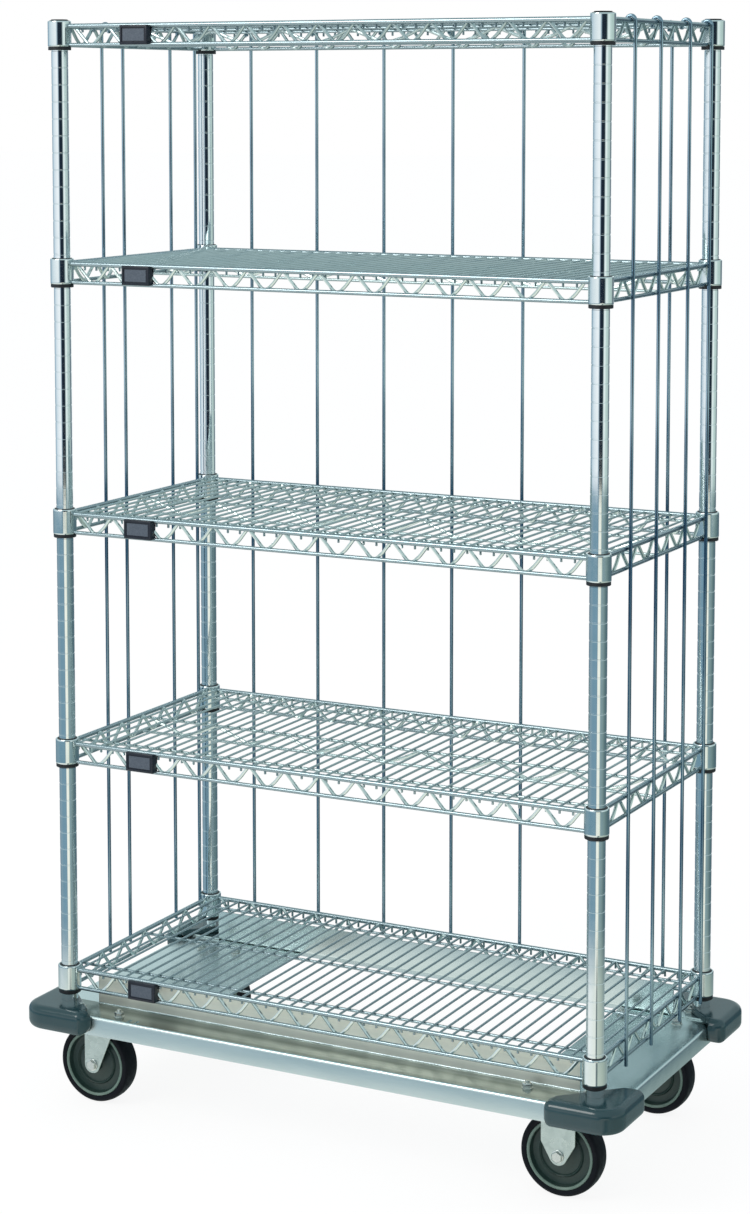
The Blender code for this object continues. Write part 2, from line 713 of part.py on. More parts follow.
def swivel_yoke_mesh():
    """Swivel fork: a round crown, a web and two raked legs."""
    inside = crown_bottom - FORK_SHEET / 2
    left_x = -SWIVEL_TRAIL - LEG_FOOT_RADIUS
    outline = leg_outline(
        (-SWIVEL_TRAIL, wheel_radius),
        [(left_x, inside), (left_x, wheel_radius + LEG_FOOT_RADIUS / 2)],
        [(LEG_FRONT_REACH, inside)],
    )
    shapes = [
        box((left_x, -leg_outer, web_bottom), (LEG_FRONT_REACH, leg_outer, crown_bottom)),
        turned([(CROWN_RADIUS, inside), (CROWN_RADIUS, crown_top)], CROWN_SEGMENTS, closed=False),
        *fork_legs(outline),
    ]
    hole = KINGPIN_RADIUS + GAP
    profile = [(hole, web_bottom - CROWN_HEIGHT), (hole, crown_top + CROWN_HEIGHT)]
    bore = turned(profile, CROWN_SEGMENTS, closed=False)
    return combined("swivel_yoke", shapes, [bore, axle_cutter(-SWIVEL_TRAIL)])


def build_casters(frame, zinc, bolt_metal, hub_plastic, rubber):
    hub, tyre = wheel_meshes()
    bolt = axle_bolt_mesh()
    rigid = rigid_fork_mesh()
    top_plate = swivel_plate_mesh()
    yoke = swivel_yoke_mesh()
    lying = (pi / 2, 0, 0)
    for corner, (sx, sy) in CORNERS.items():
        name = "caster_" + corner
        if sx > 0:
            carrier = empty(name + "_seat", (rigid_x, sy * caster_y, 0), frame)
            place(name + "_fork", rigid, zinc, parent=carrier)
            axle = (0, 0, wheel_radius)
        else:
            carrier = empty(name + "_seat", (swivel_x, sy * caster_y, 0), frame)
            place(name + "_top_plate", top_plate, zinc, parent=carrier)
            carrier = place(name + "_yoke", yoke, zinc, parent=carrier)
            axle = (-SWIVEL_TRAIL, 0, wheel_radius)
        place(name + "_axle_bolt", bolt, bolt_metal, axle, carrier, lying, smooth=True)
        wheel = place(name + "_hub", hub, hub_plastic, axle, carrier, lying, smooth=True)
        place(name + "_tyre", tyre, rubber, parent=wheel, smooth=True)


def build_cart():
    clear_scene()
    chrome = make_material("post_chrome", (0.72, 0.78, 0.79), 0.12, 1)
    wire = make_material("shelf_chrome", (0.62, 0.70, 0.70), 0.2, 1)
    rod_chrome = make_material("rod_chrome", (0.55, 0.66, 0.70), 0.2, 1)
    sheet = make_material("dolly_sheet", (0.60, 0.67, 0.67), 0.38, 1)
    vinyl = make_material("bumper_vinyl", (0.10, 0.14, 0.16), 0.35, 0)
    label = make_material("label_plastic", (0.02, 0.022, 0.03), 0.35, 0)
    cap = make_material("cap_plastic", (0.02, 0.02, 0.022), 0.4, 0)
    zinc = make_material("caster_zinc", (0.66, 0.70, 0.68), 0.35, 1)
    bolt = make_material("axle_zinc", (0.70, 0.72, 0.70), 0.3, 1)
    hub = make_material("hub_plastic", (0.07, 0.10, 0.08), 0.45, 0)
    rubber = make_material("tyre_rubber", (0.015, 0.016, 0.02), 0.6, 0)
    frame = empty("cart_frame", (0, 0, 0))
    build_posts(frame, chrome)
    build_caps(frame, cap)
    build_shelves(frame, wire)
    build_rods(frame, rod_chrome)
    build_rails(frame, sheet)
    build_end_pans(frame, sheet)
    build_bumpers(frame, vinyl)
    build_labels(frame, label)
    build_casters(frame, zinc, bolt, hub, rubber)


build_cart()
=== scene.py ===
from math import acos, atan2, ceil, cos, hypot, pi, radians, sin, tan

import bmesh
import bpy
from mathutils import Matrix, Quaternion, Vector


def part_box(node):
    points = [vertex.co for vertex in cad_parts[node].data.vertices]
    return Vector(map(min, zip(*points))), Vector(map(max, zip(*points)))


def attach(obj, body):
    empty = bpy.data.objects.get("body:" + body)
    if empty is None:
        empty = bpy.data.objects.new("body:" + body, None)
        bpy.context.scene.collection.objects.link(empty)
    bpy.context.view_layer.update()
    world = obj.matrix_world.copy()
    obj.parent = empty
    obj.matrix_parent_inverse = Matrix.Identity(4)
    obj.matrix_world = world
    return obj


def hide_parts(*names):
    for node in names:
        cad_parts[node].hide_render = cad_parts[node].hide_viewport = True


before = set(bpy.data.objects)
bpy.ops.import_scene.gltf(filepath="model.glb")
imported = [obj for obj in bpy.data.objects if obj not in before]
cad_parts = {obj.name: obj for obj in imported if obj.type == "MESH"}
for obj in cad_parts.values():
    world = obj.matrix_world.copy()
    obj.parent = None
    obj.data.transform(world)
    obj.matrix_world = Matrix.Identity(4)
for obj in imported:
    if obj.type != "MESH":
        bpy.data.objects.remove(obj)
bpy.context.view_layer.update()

# Sizes of the visible detail, in metres
GAP = 0.0003
EDGE = 0.0004
FINE_EDGE = 0.0003
EDGE_RISE = 0.0005
OVERRUN = 0.02
POST_R = 0.0127
POST_WALL = 0.0013
POST_CLEAR = 0.0002
GROOVE_PITCH = 0.0254
GROOVE_HALF = 0.0011
GROOVE_DEPTH = 0.0004
GROOVE_END_CLEAR = 0.01
GROOVE_SHARES = ((0, -1.5), (0, -1), (1, -0.6), (1, 0.6), (0, 1), (0, 1.5))
COLLAR_R = 0.01775
COLLAR_H = 0.038
COLLAR_OVERLAP = 0.0012
SLEEVE_R = 0.0152
SLEEVE_LIP_R = 0.0172
SLEEVE_LIP_H = 0.0051
SLEEVE_STAND_UP = 0.0008
SLEEVE_CLEAR = 0.0001
CAP_HEAD = 0.0015
CAP_WALL = 0.0018
CAP_ROUND = 0.0008
CAP_DIMPLE_R = 0.004
RIM_DROP = 0.0077
RIM_R = 0.0037
LOW_DROP = 0.028
LOW_R = 0.0030
BRACE_R = 0.0026
BRACE_PERIOD = 0.061
BRACE_BEND = 0.004
LOW_BEND = 0.011
BRACE_SAG = 0.0026
BRACE_INSET = 0.0034
BRACE_CLEAR = 0.012
RIM_WELD = 0.0012
LOW_WELD = 0.0014
DECK_R = 0.0018
DECK_PITCH = 0.0206
DECK_COUNT = 42
DECK_RISE = 0.0008
DECK_BEND = 0.004
DECK_TAIL = 0.0092
DECK_WELD = 0.0003
STAY_R = 0.0022
STAY_Y = 0.172
STAY_WELD = 0.0004
CENTRE_DEPTH = 0.0235
CENTRE_WELD = 0.001
CENTRE_CLEAR = 0.03
ROD_R = 0.0027
ROD_TAIL = 0.0075
SHEET = 0.0025
SHEET_BEND = 0.0032
SHEET_LAP = 0.0002
CORNER_CUT = 0.012
CORNER_LAP = 0.001
UPSTAND_HALF = 0.405
SLOT_PLACES = ((-0.3175, -0.2325), (-0.3045, -0.2325))
SLOT_HALF_WIDTH = 0.0022
SLOT_HALF_LENGTH = 0.0068
NUT_ACROSS = 0.0125
NUT_H = 0.0065
NUT_STUD = 0.0035
WASHER_R = 0.0085
WASHER_H = 0.0012
STUD_R = 0.0034
BUMPER_ROUND = 0.0105
BUMPER_END = 0.014
BUMPER_LIP = 0.006
BUMPER_VOXEL = 0.0011
WEB_REACH = 0.068
WEB_INSET = 0.008
LABEL_DEPTH = 0.0145
LABEL_BORDER = 0.0048
LABEL_ROUND = 0.0013
SWIVEL_TRAIL = 0.032
WHEEL_R = 0.062
TYRE_HALF = 0.016
CASTER_SHEET = 0.003
FORK_MIDDLE = 0.020
FORK_INNER = FORK_MIDDLE - CASTER_SHEET / 2
FORK_OUTER = FORK_MIDDLE + CASTER_SHEET / 2
FORK_FOOT_R = 0.0135
RIGID_PLATE_HALF = (0.057, 0.039)
RIGID_LEG_HALF = 0.0265
RIGID_BOLTS = (0.045, 0.027)
SWIVEL_PLATE_HALF = (0.046, 0.056)
SWIVEL_BOLTS = (0.034, 0.045)
SMOOTH_ANGLE = 38
FLOOR_DROP = 0.0004
FLOOR_REACH = 60.0
LAMP_AIM = (0, 0, 0.7)

# Camera fitted to the photograph: metres, degrees and millimetres of lens
PHOTO_LENS = 79.749
CAMERA_PLACE = (1.8522, -3.5868, 1.5587)
CAMERA_LOOK_DOWN = 5.4384
CAMERA_TURN = 27.5228
CAMERA_SHIFT = -0.21

CORNERS = {
    "front_left": (-1, -1),
    "front_right": (1, -1),
    "back_left": (-1, 1),
    "back_right": (1, 1),
}
LEVELS = ("bottom", "lower", "middle", "upper", "top")


def middle_of(node):
    low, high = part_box(node)
    return (low + high) / 2


post_x = middle_of("post_front_right").x
post_y = middle_of("post_back_right").y
post_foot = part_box("post_front_right")[0].z
shelf_tops = {level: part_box("shelf_" + level)[1].z for level in LEVELS}
ledge_top = post_foot - GAP
rail_low, rail_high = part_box("dolly_front_rail")
dolly_x = rail_high.x
dolly_y = -rail_low.y
rail_width = rail_high.y - rail_low.y
flange_low = rail_low.z
pan_top = ledge_top - SHEET - GAP

# Turns for outlines that are drawn in XY and extruded along Y or X
ALONG_Y = Matrix.Rotation(pi / 2, 4, "X")
ALONG_X = Matrix.Rotation(pi / 2, 4, "Z") @ ALONG_Y


# Mesh building
class Shape:
    """Collects closed shells, and turns them into one mesh."""

    def __init__(self):
        self.verts = []
        self.faces = []
        self.slots = []

    def add(self, verts, faces, slot=0, matrix=None):
        start = len(self.verts)
        for vert in verts:
            vert = Vector(vert)
            self.verts.append(matrix @ vert if matrix else vert)
        for face in faces:
            self.faces.append([start + index for index in face])
            self.slots.append(slot)

    def rings(self, rings, slot=0, matrix=None, loop=False):
        """Skin a row of equal rings; the ends are capped unless the row is a loop."""
        count = len(rings[0])
        verts = [vert for ring in rings for vert in ring]
        faces = []
        pairs = [(index, index + 1) for index in range(len(rings) - 1)]
        if loop:
            pairs.append((len(rings) - 1, 0))
        for low, high in pairs:
            below, above = low * count, high * count
            for step in range(count):
                after = (step + 1) % count
                faces.append([below + step, below + after, above + after, above + step])
        if not loop:
            faces.append(list(range(count)))
            faces.append([(len(rings) - 1) * count + step for step in range(count)])
        self.add(verts, faces, slot, matrix)

    def tube(self, path, radius, sides=8, slot=0, matrix=None, tip=0.4):
        """Round wire along a path, with its tips rounded off."""
        points = [Vector(point) for point in path]
        runs = [(after - before).normalized() for before, after in zip(points, points[1:])]
        tangents = [runs[0]]
        tangents += [(first + second).normalized() for first, second in zip(runs, runs[1:])]
        tangents.append(runs[-1])
        if tip:
            first, last = (tangents[end] * radius * tip * 0.6 for end in (0, -1))
            points = [points[0] - first, *points, points[-1] + last]
            tangents = [tangents[0], *tangents, tangents[-1]]
        aside = Vector((0, 0, 1)) if abs(tangents[0].z) < 0.9 else Vector((1, 0, 0))
        normal = tangents[0].cross(aside).normalized()
        made = []
        for index, (point, tangent) in enumerate(zip(points, tangents)):
            if index:
                axis = tangents[index - 1].cross(tangent)
                if axis.length > 1e-8:
                    normal.rotate(Quaternion(axis.normalized(), tangents[index - 1].angle(tangent)))
            other = tangent.cross(normal)
            size = radius * (1 - tip) if tip and index in (0, len(points) - 1) else radius
            angles = [2 * pi * step / sides for step in range(sides)]
            made.append([point + size * (cos(a) * normal + sin(a) * other) for a in angles])
        self.rings(made, slot, matrix)

    def lathe(self, profile, segments=32, slot=0, matrix=None, loop=False):
        """Turn (radius, height) points about Z."""
        angles = [2 * pi * (step + 0.5) / segments for step in range(segments)]
        made = [[(radius * cos(a), radius * sin(a), height) for a in angles] for radius, height in profile]
        self.rings(made, slot, matrix, loop)

    def prism(self, outline, low, high, slot=0, matrix=None, edge=0):
        """Extrude an XY outline, with a chamfered rim if an edge width is given."""
        if edge:
            levels = [(low, edge), (low + edge, 0), (high - edge, 0), (high, edge)]
        else:
            levels = [(low, 0), (high, 0)]
        made = []
        for height, inset in levels:
            ring = inset_outline(outline, inset) if inset else outline
            made.append([(x, y, height) for x, y in ring])
        self.rings(made, slot, matrix)

    def mesh(self, name, smooth=SMOOTH_ANGLE):
        mesh = bpy.data.meshes.new(name)
        mesh.from_pydata(self.verts, [], self.faces)
        mesh.polygons.foreach_set("material_index", self.slots)
        bm = bmesh.new()
        bm.from_mesh(mesh)
        bmesh.ops.recalc_face_normals(bm, faces=bm.faces)
        bm.to_mesh(mesh)
        bm.free()
        finish_mesh(mesh, smooth)
        return mesh


def finish_mesh(mesh, smooth):
    if smooth:
        mesh.shade_smooth()
        mesh.set_sharp_from_angle(angle=radians(smooth))


def inset_outline(outline, distance):
    """Move every side of a counter-clockwise outline inwards."""
    moved = []
    count = len(outline)
    for index in range(count):
        before = Vector(outline[index - 1])
        here = Vector(outline[index])
        after = Vector(outline[(index + 1) % count])
        first = (here - before).normalized()
        second = (after - here).normalized()
        normal_a = Vector((-first.y, first.x))
        normal_b = Vector((-second.y, second.x))
        bisector = normal_a + normal_b
        bisector /= max(bisector.dot(normal_a), 1e-6)
        moved.append(tuple(here + bisector * distance))
    return moved


def rounded(points, radius, steps=5, closed=False):
    """Path with its corners rounded; points may be 2D or 3D."""
    size = len(points[0])
    points = [Vector((*point, 0)[:3]) if size == 2 else Vector(point) for point in points]
    radii = list(radius) if hasattr(radius, "__len__") else [radius] * len(points)
    made = []
    count = len(points)
    for index, here in enumerate(points):
        if (not closed and index in (0, count - 1)) or not radii[index]:
            made.append(here)
            continue
        to_before = points[index - 1] - here
        to_after = points[(index + 1) % count] - here
        half = to_before.angle(to_after) / 2
        if half > radians(89.5):
            made.append(here)
            continue
        reach = min(radii[index] / tan(half), to_before.length * 0.48, to_after.length * 0.48)
        turn = reach * tan(half)
        first = to_before.normalized()
        second = to_after.normalized()
        centre = here + (first + second).normalized() * turn / sin(half)
        start = here + first * reach - centre
        stop = here + second * reach - centre
        for step in range(steps + 1):
            made.append(centre + start.slerp(stop, step / steps).normalized() * turn)
    return [tuple(point[:size]) for point in made]


def rounded_rectangle(x, y, radius, steps=5):
    return rounded([(-x, -y), (x, -y), (x, y), (-x, y)], radius, steps, True)


def quarter_turn(steps):
    """Angles from 0 to a quarter turn."""
    return [pi / 2 * step / steps for step in range(steps + 1)]


def arc(centre, radius, start, stop, steps):
    angles = [start + (stop - start) * step / steps for step in range(steps + 1)]
    return [(centre[0] + radius * cos(angle), centre[1] + radius * sin(angle)) for angle in angles]


def strip_outline(path, thickness, bend, steps=5):
    """Outline of folded sheet whose middle line follows a 2D path."""
    line = [Vector(point) for point in rounded(path, bend, steps)]
    left, right = [], []
    for index, here in enumerate(line):
        before = line[index - 1] if index else None
        after = line[index + 1] if index + 1 < len(line) else None
        first = (here - before).normalized() if before is not None else None
        second = (after - here).normalized() if after is not None else None
        run = ((first or second) + (second or first)).normalized()
        side = Vector((-run.y, run.x))
        spread = thickness / 2 / max(side.dot(Vector((-(first or second).y, (first or second).x))), 0.3)
        left.append(tuple(here + side * spread))
        right.append(tuple(here - side * spread))
    outline = left + right[::-1]
    area = sum(a[0] * b[1] - a[1] * b[0] for a, b in zip(outline, outline[1:] + outline[:1]))
    return outline if area > 0 else outline[::-1]


def new_object(name, data):
    made = bpy.data.objects.new(name, data)
    bpy.context.scene.collection.objects.link(made)
    return made


def put(name, mesh, materials, body, location=(0, 0, 0), turn=None, replaces=()):
    """Place a finished mesh as a piece of the object."""
    piece = new_object(name, mesh)
    if not mesh.materials:
        for material in materials:
            mesh.materials.append(material)
    piece.location = location
    if turn:
        piece.rotation_euler = turn
    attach(piece, body)
    if replaces:
        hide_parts(*replaces)
    return piece


def mirrored(mesh, name, sx, sy):
    """Copy of a mesh mirrored across X, Y or both, with its faces still pointing out."""
    bm = bmesh.new()
    bm.from_mesh(mesh)
    bmesh.ops.scale(bm, vec=(sx, sy, 1), verts=bm.verts)
    if sx * sy < 0:
        bmesh.ops.reverse_faces(bm, faces=bm.faces)
    copy = bpy.data.meshes.new(name)
    bm.to_mesh(copy)
    bm.free()
    for material in mesh.materials:
        copy.materials.append(material)
    finish_mesh(copy, SMOOTH_ANGLE)
    return copy


def joined(name, mesh, cutters=(), unions=(), modifiers=()):
    """Mesh after joins, cuts and other modifiers, applied."""
    body = new_object(name, mesh)
    scratch = [body]
    for operation, parts in (("UNION", unions), ("DIFFERENCE", cutters)):
        for part in parts:
            tool = new_object(name + "_tool", part)
            scratch.append(tool)
            step = body.modifiers.new(operation, "BOOLEAN")
            step.operation = operation
            step.object = tool
            step.solver = "EXACT"
            step.use_self = True
    for kind, values in modifiers:
        step = body.modifiers.new(kind, kind)
        for key, value in values.items():
            setattr(step, key, value)
    graph = bpy.context.evaluated_depsgraph_get()
    made = bpy.data.meshes.new_from_object(body.evaluated_get(graph))
    made.name = name
    for item in scratch:
        bpy.data.objects.remove(item, do_unlink=True)
    return made


# Materials
def add_node(tree, kind, inputs=None, **settings):
    """New shader node; an input given as a socket is linked, and any other is set."""
    node = tree.nodes.new("ShaderNode" + kind)
    for key, value in settings.items():
        setattr(node, key, value)
    for key, value in (inputs or {}).items():
        if isinstance(value, bpy.types.NodeSocket):
            tree.links.new(value, node.inputs[key])
        else:
            node.inputs[key].default_value = value
    return node


class Nodes:
    """Short way to build a material's node tree."""

    def __init__(self, name, metallic=0.0):
        self.material = bpy.data.materials.new(name)
        self.material.use_nodes = True
        self.tree = self.material.node_tree
        self.shader = self.tree.nodes["Principled BSDF"]
        self.shader.inputs["Metallic"].default_value = metallic
        self.coords = add_node(self.tree, "TexCoord").outputs["Object"]

    def mapped(self, scale):
        return add_node(self.tree, "Mapping", {"Scale": scale, "Vector": self.coords}).outputs["Vector"]

    def noise(self, scale, detail=3.0, stretch=(1, 1, 1), rough=0.5):
        inputs = {"Scale": scale, "Detail": detail, "Roughness": rough, "Vector": self.mapped(stretch)}
        return add_node(self.tree, "TexNoise", inputs).outputs["Fac"]

    def cells(self, scale):
        inputs = {"Scale": scale, "Vector": self.mapped((1, 1, 1))}
        return add_node(self.tree, "TexVoronoi", inputs).outputs["Color"]

    def fit(self, value, low, high, start=0.3, stop=0.7):
        inputs = {"Value": value, "From Min": start, "From Max": stop, "To Min": low, "To Max": high}
        return add_node(self.tree, "MapRange", inputs).outputs["Result"]

    def height(self, low, high):
        """0 below the height low, 1 above the height high."""
        parts = add_node(self.tree, "SeparateXYZ", {"Vector": self.coords})
        return self.fit(parts.outputs["Z"], 0, 1, low, high)

    def times(self, first, second):
        return add_node(self.tree, "Math", {0: first, 1: second}, operation="MULTIPLY").outputs["Value"]

    def bump(self, height, distance):
        node = add_node(self.tree, "Bump", {"Strength": 1.0, "Distance": distance, "Height": height})
        self.tree.links.new(node.outputs["Normal"], self.shader.inputs["Normal"])

    def colour(self, factor, first, second):
        """Base colour between first and second."""
        inputs = {"Factor": factor, "A": (*first, 1), "B": (*second, 1)}
        mix = add_node(self.tree, "Mix", inputs, data_type="RGBA")
        self.tree.links.new(mix.outputs["Result"], self.shader.inputs["Base Color"])

    def gloss(self, low, high, *noise):
        """Roughness between low and high, clouded by a noise."""
        clouds = self.fit(self.noise(*noise), low, high)
        self.tree.links.new(clouds, self.shader.inputs["Roughness"])


def chrome(name, tint, shade, rough, ripple):
    """Bright plating: faint clouding in colour and gloss, and a slight ripple."""
    nodes = Nodes(name, 1.0)
    nodes.colour(nodes.fit(nodes.noise(38, 4), 0, 1), shade, tint)
    nodes.gloss(rough * 0.85, rough * 1.2, 90, 5)
    nodes.bump(nodes.noise(55, 2, (1, 1, 0.25)), ripple)
    return nodes.material


def rod_reflection_bands(name, tint, shade, rough):
    """The enclosure rods' chrome, with long light and dark lengths painted in as reflections."""
    nodes = Nodes(name, 1.0)
    # Painted reflection: the dark lengths stand in for the dark reflections along the rods.
    painted_reflection_lengths = nodes.fit(nodes.noise(9, 2, (1, 1, 0.35)), 0, 1, 0.38, 0.62)
    nodes.colour(painted_reflection_lengths, shade, tint)
    nodes.gloss(rough * 0.85, rough * 1.2, 90, 5)
    return nodes.material


def sheet_metal(name, dark, light, rough, grain):
    """Mill finish sheet with a fine grain along its length."""
    nodes = Nodes(name, 1.0)
    lines = nodes.noise(20, 4, grain, 0.55)
    nodes.colour(nodes.fit(lines, 0, 1, 0.2, 0.8), dark, light)
    nodes.gloss(rough * 0.88, rough * 1.15, 6, 3, (0.4, 4, 4))
    nodes.bump(lines, 0.000004)
    return nodes.material


def upstand_metal(name, foot, top, rough):
    """The front upstand: pale behind the truss, with painted shade darkening it towards its foot."""
    nodes = Nodes(name, 0.35)
    lines = nodes.noise(20, 4, (0.3, 1, 8), 0.55)
    # Painted shade: below this height band the colour falls to the darker foot colour, standing in for the
    # shade at the upstand's foot.
    rise = nodes.height(ledge_top + 0.008, ledge_top + 0.022)
    nodes.colour(nodes.times(rise, nodes.fit(lines, 0.75, 1, 0.2, 0.8)), foot, top)
    nodes.gloss(rough * 0.88, rough * 1.15, 6, 3, (0.4, 4, 4))
    nodes.bump(lines, 0.000004)
    return nodes.material


def zinc(name, tint, shade, rough):
    """Zinc plate with faint spangle."""
    nodes = Nodes(name, 1.0)
    nodes.colour(nodes.fit(nodes.cells(170), 0, 1, 0, 1), shade, tint)
    nodes.gloss(rough * 0.8, rough * 1.3, 120, 5)
    nodes.bump(nodes.noise(260, 4), 0.00005)
    return nodes.material


def vinyl(name):
    nodes = Nodes(name)
    clouds = nodes.fit(nodes.noise(26, 4), 0, 1)
    nodes.colour(clouds, (0.012, 0.044, 0.053), (0.017, 0.055, 0.066))
    nodes.gloss(0.15, 0.21, 220, 3)
    nodes.bump(nodes.noise(420, 2), 0.00001)
    nodes.shader.inputs["Specular IOR Level"].default_value = 0.7
    return nodes.material


def plastic(name, dark, light, rough, grain=0.00003, scale=60):
    nodes = Nodes(name)
    nodes.colour(nodes.fit(nodes.noise(scale, 4), 0, 1), dark, light)
    nodes.gloss(rough * 0.85, rough * 1.2, 300, 3)
    nodes.bump(nodes.noise(700, 2), grain)
    return nodes.material


def rubber(name):
    """Dark tread rubber, a little dusty where the noise lets it through."""
    nodes = Nodes(name)
    dust = nodes.fit(nodes.noise(46, 6), 0, 1, 0.35, 0.8)
    nodes.colour(dust, (0.0015, 0.0025, 0.006), (0.004, 0.006, 0.011))
    nodes.gloss(0.42, 0.62, 160, 4)
    nodes.bump(nodes.noise(900, 3), 0.00002)
    nodes.shader.inputs["Specular IOR Level"].default_value = 0.16
    return nodes.material


post_chrome = chrome("post_chrome_look", (0.86, 0.90, 0.92), (0.80, 0.85, 0.87), 0.05, 0.00008)
collar_chrome = chrome("collar_chrome_look", (0.80, 0.86, 0.87), (0.72, 0.79, 0.80), 0.08, 0.00008)
wire_chrome = chrome("wire_chrome_look", (0.50, 0.59, 0.60), (0.45, 0.54, 0.55), 0.2, 0.00001)
# Painted shade: a darker copy of the wire chrome, for the rims and for the bottom and top decks.
rim_shaded_chrome = chrome("rim_chrome_look", (0.38, 0.46, 0.49), (0.34, 0.42, 0.45), 0.24, 0.00001)
# Painted highlight: a lighter copy of the wire chrome, for the truss braces under the lower shelves.
brace_highlight_chrome = chrome("brace_chrome_look", (0.80, 0.87, 0.84), (0.72, 0.79, 0.77), 0.14, 0.00001)
rod_chrome = rod_reflection_bands("rod_chrome_look", (0.46, 0.60, 0.67), (0.08, 0.16, 0.25), 0.08)
dolly_metal = sheet_metal("dolly_metal_look", (0.66, 0.75, 0.75), (0.76, 0.84, 0.84), 0.24, (0.5, 3, 3))
# Painted shade: a darker copy of the dolly sheet metal for the right pan's top face.
pan_top_painted_shade = sheet_metal("pan_metal_look", (0.46, 0.57, 0.58), (0.54, 0.65, 0.66), 0.22, (3, 0.5, 3))
# Painted shade: darker copies of the dolly sheet metal for the top faces of the back and front ledges, the
# front one with dark grain streaks.
back_ledge_painted_shade = sheet_metal("back_metal_look", (0.46, 0.57, 0.58), (0.54, 0.65, 0.66), 0.22, (0.5, 3, 3))
front_ledge_painted_shade = sheet_metal("ledge_metal_look", (0.18, 0.215, 0.185), (0.54, 0.585, 0.56), 0.2, (0.05, 3, 3))
caster_zinc = zinc("caster_zinc_look", (0.66, 0.73, 0.70), (0.53, 0.60, 0.57), 0.3)
bolt_zinc = zinc("bolt_zinc_look", (0.76, 0.78, 0.76), (0.62, 0.64, 0.62), 0.22)
# The foot colour is painted shade; the top colour is the pale front face.
warm_metal_shaded_foot = upstand_metal("warm_metal_look", (0.62, 0.65, 0.59), (0.97, 0.98, 0.86), 0.34)
bumper_vinyl = vinyl("bumper_vinyl_look")
sleeve_black = plastic("sleeve_black_look", (0.003, 0.004, 0.007), (0.008, 0.010, 0.014), 0.45)
label_black = plastic("label_black_look", (0.004, 0.007, 0.016), (0.009, 0.013, 0.026), 0.3)
label_grey = plastic("label_grey_look", (0.060, 0.078, 0.105), (0.095, 0.118, 0.150), 0.4, 0.00003, 500)
hub_plastic = plastic("hub_plastic_look", (0.013, 0.034, 0.030), (0.022, 0.047, 0.041), 0.34, 0.00002)
# Painted highlight: lighter plastic for the hub's rim ring.
rim_highlight_plastic = plastic("rim_plastic_look", (0.125, 0.20, 0.165), (0.185, 0.265, 0.225), 0.38, 0.00002)
tyre_rubber = rubber("tyre_rubber_look")


# Posts, sleeves and caps
def post_mesh():
    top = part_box("post_front_right")[1].z
    profile = [
        (POST_R - POST_WALL, post_foot), (POST_R - EDGE, post_foot), (POST_R, post_foot + EDGE_RISE),
    ]
    grooves = ceil((shelf_tops["top"] - post_foot) / GROOVE_PITCH)
    for index in range(grooves, -1, -1):
        middle = shelf_tops["top"] - COLLAR_H / 2 - index * GROOVE_PITCH
        if post_foot + GROOVE_END_CLEAR < middle < top - GROOVE_END_CLEAR:
            for depth, rise in GROOVE_SHARES:
                profile.append((POST_R - GROOVE_DEPTH * depth, middle + GROOVE_HALF * rise))
    profile += [(POST_R, top - EDGE), (POST_R - EDGE, top), (POST_R - POST_WALL, top)]
    shape = Shape()
    shape.lathe(profile, 40, loop=True)
    return shape.mesh("post_tube")


def sleeves_mesh():
    """Five sleeves: a ring inside each collar, and a lip under it."""
    shape = Shape()
    inner = POST_R + SLEEVE_CLEAR
    for level in LEVELS:
        lip_top = shelf_tops[level] - COLLAR_H - GAP
        low = lip_top - SLEEVE_LIP_H
        high = shelf_tops[level] + SLEEVE_STAND_UP
        profile = [
            (inner, low), (SLEEVE_LIP_R - EDGE, low), (SLEEVE_LIP_R, low + EDGE_RISE),
            (SLEEVE_LIP_R, lip_top - FINE_EDGE), (SLEEVE_LIP_R - FINE_EDGE, lip_top),
            (SLEEVE_R, lip_top), (SLEEVE_R, high - FINE_EDGE), (SLEEVE_R - EDGE, high), (inner, high),
        ]
        shape.lathe(profile, 40, loop=True)
    return shape.mesh("post_sleeves")


def cap_mesh():
    low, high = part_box("post_cap_front_right")
    profile = [
        (POST_R - CAP_WALL, low.z - high.z + CAP_HEAD), (POST_R - CAP_WALL, GAP),
        (POST_R - FINE_EDGE, GAP), (POST_R, CAP_HEAD * 0.4), (POST_R, CAP_HEAD * 2 / 3),
        (POST_R - CAP_ROUND, CAP_HEAD), (CAP_DIMPLE_R, CAP_HEAD),
        (CAP_DIMPLE_R * 0.875, CAP_HEAD * 0.8),
    ]
    shape = Shape()
    shape.lathe(profile, 40)
    return shape.mesh("post_cap")


def build_posts():
    tube = post_mesh()
    sleeves = sleeves_mesh()
    cap = cap_mesh()
    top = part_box("post_front_right")[1].z
    for corner, (sx, sy) in CORNERS.items():
        at = (sx * post_x, sy * post_y, 0)
        seat = (sx * post_x, sy * post_y, top)
        post, plug = ["post_" + corner], ["post_cap_" + corner]
        put("post_tube_" + corner, tube, [post_chrome], "cart", at, replaces=post)
        put("post_sleeves_" + corner, sleeves, [sleeve_black], "cart", at)
        put("post_plug_" + corner, cap, [sleeve_black], "cart", seat, replaces=plug)


# Shelves
def brace_path(length, top, low, period, top_bend, low_bend):
    """Zigzag in the XZ plane along a truss: straight strokes down, hollow ones up."""
    halves = 2 * round(length / period)
    step = length / halves
    over = under = 0.0
    for _ in range(6):
        half = atan2(step, top + over - low + under)
        over = top_bend * (1 / sin(half) - 1)
        under = low_bend * (1 / sin(half) - 1)
    points, bends = [], []
    for index in range(halves + 1):
        x = -length / 2 + index * step
        if index and index % 2 == 0:
            points.append((x - step / 2, 0, (top + over + low - under) / 2 - BRACE_SAG))
            bends.append(0.05)
        points.append((x, 0, low - under if index % 2 else top + over))
        bends.append(low_bend if index % 2 else top_bend)
    return rounded(points, bends, 5)


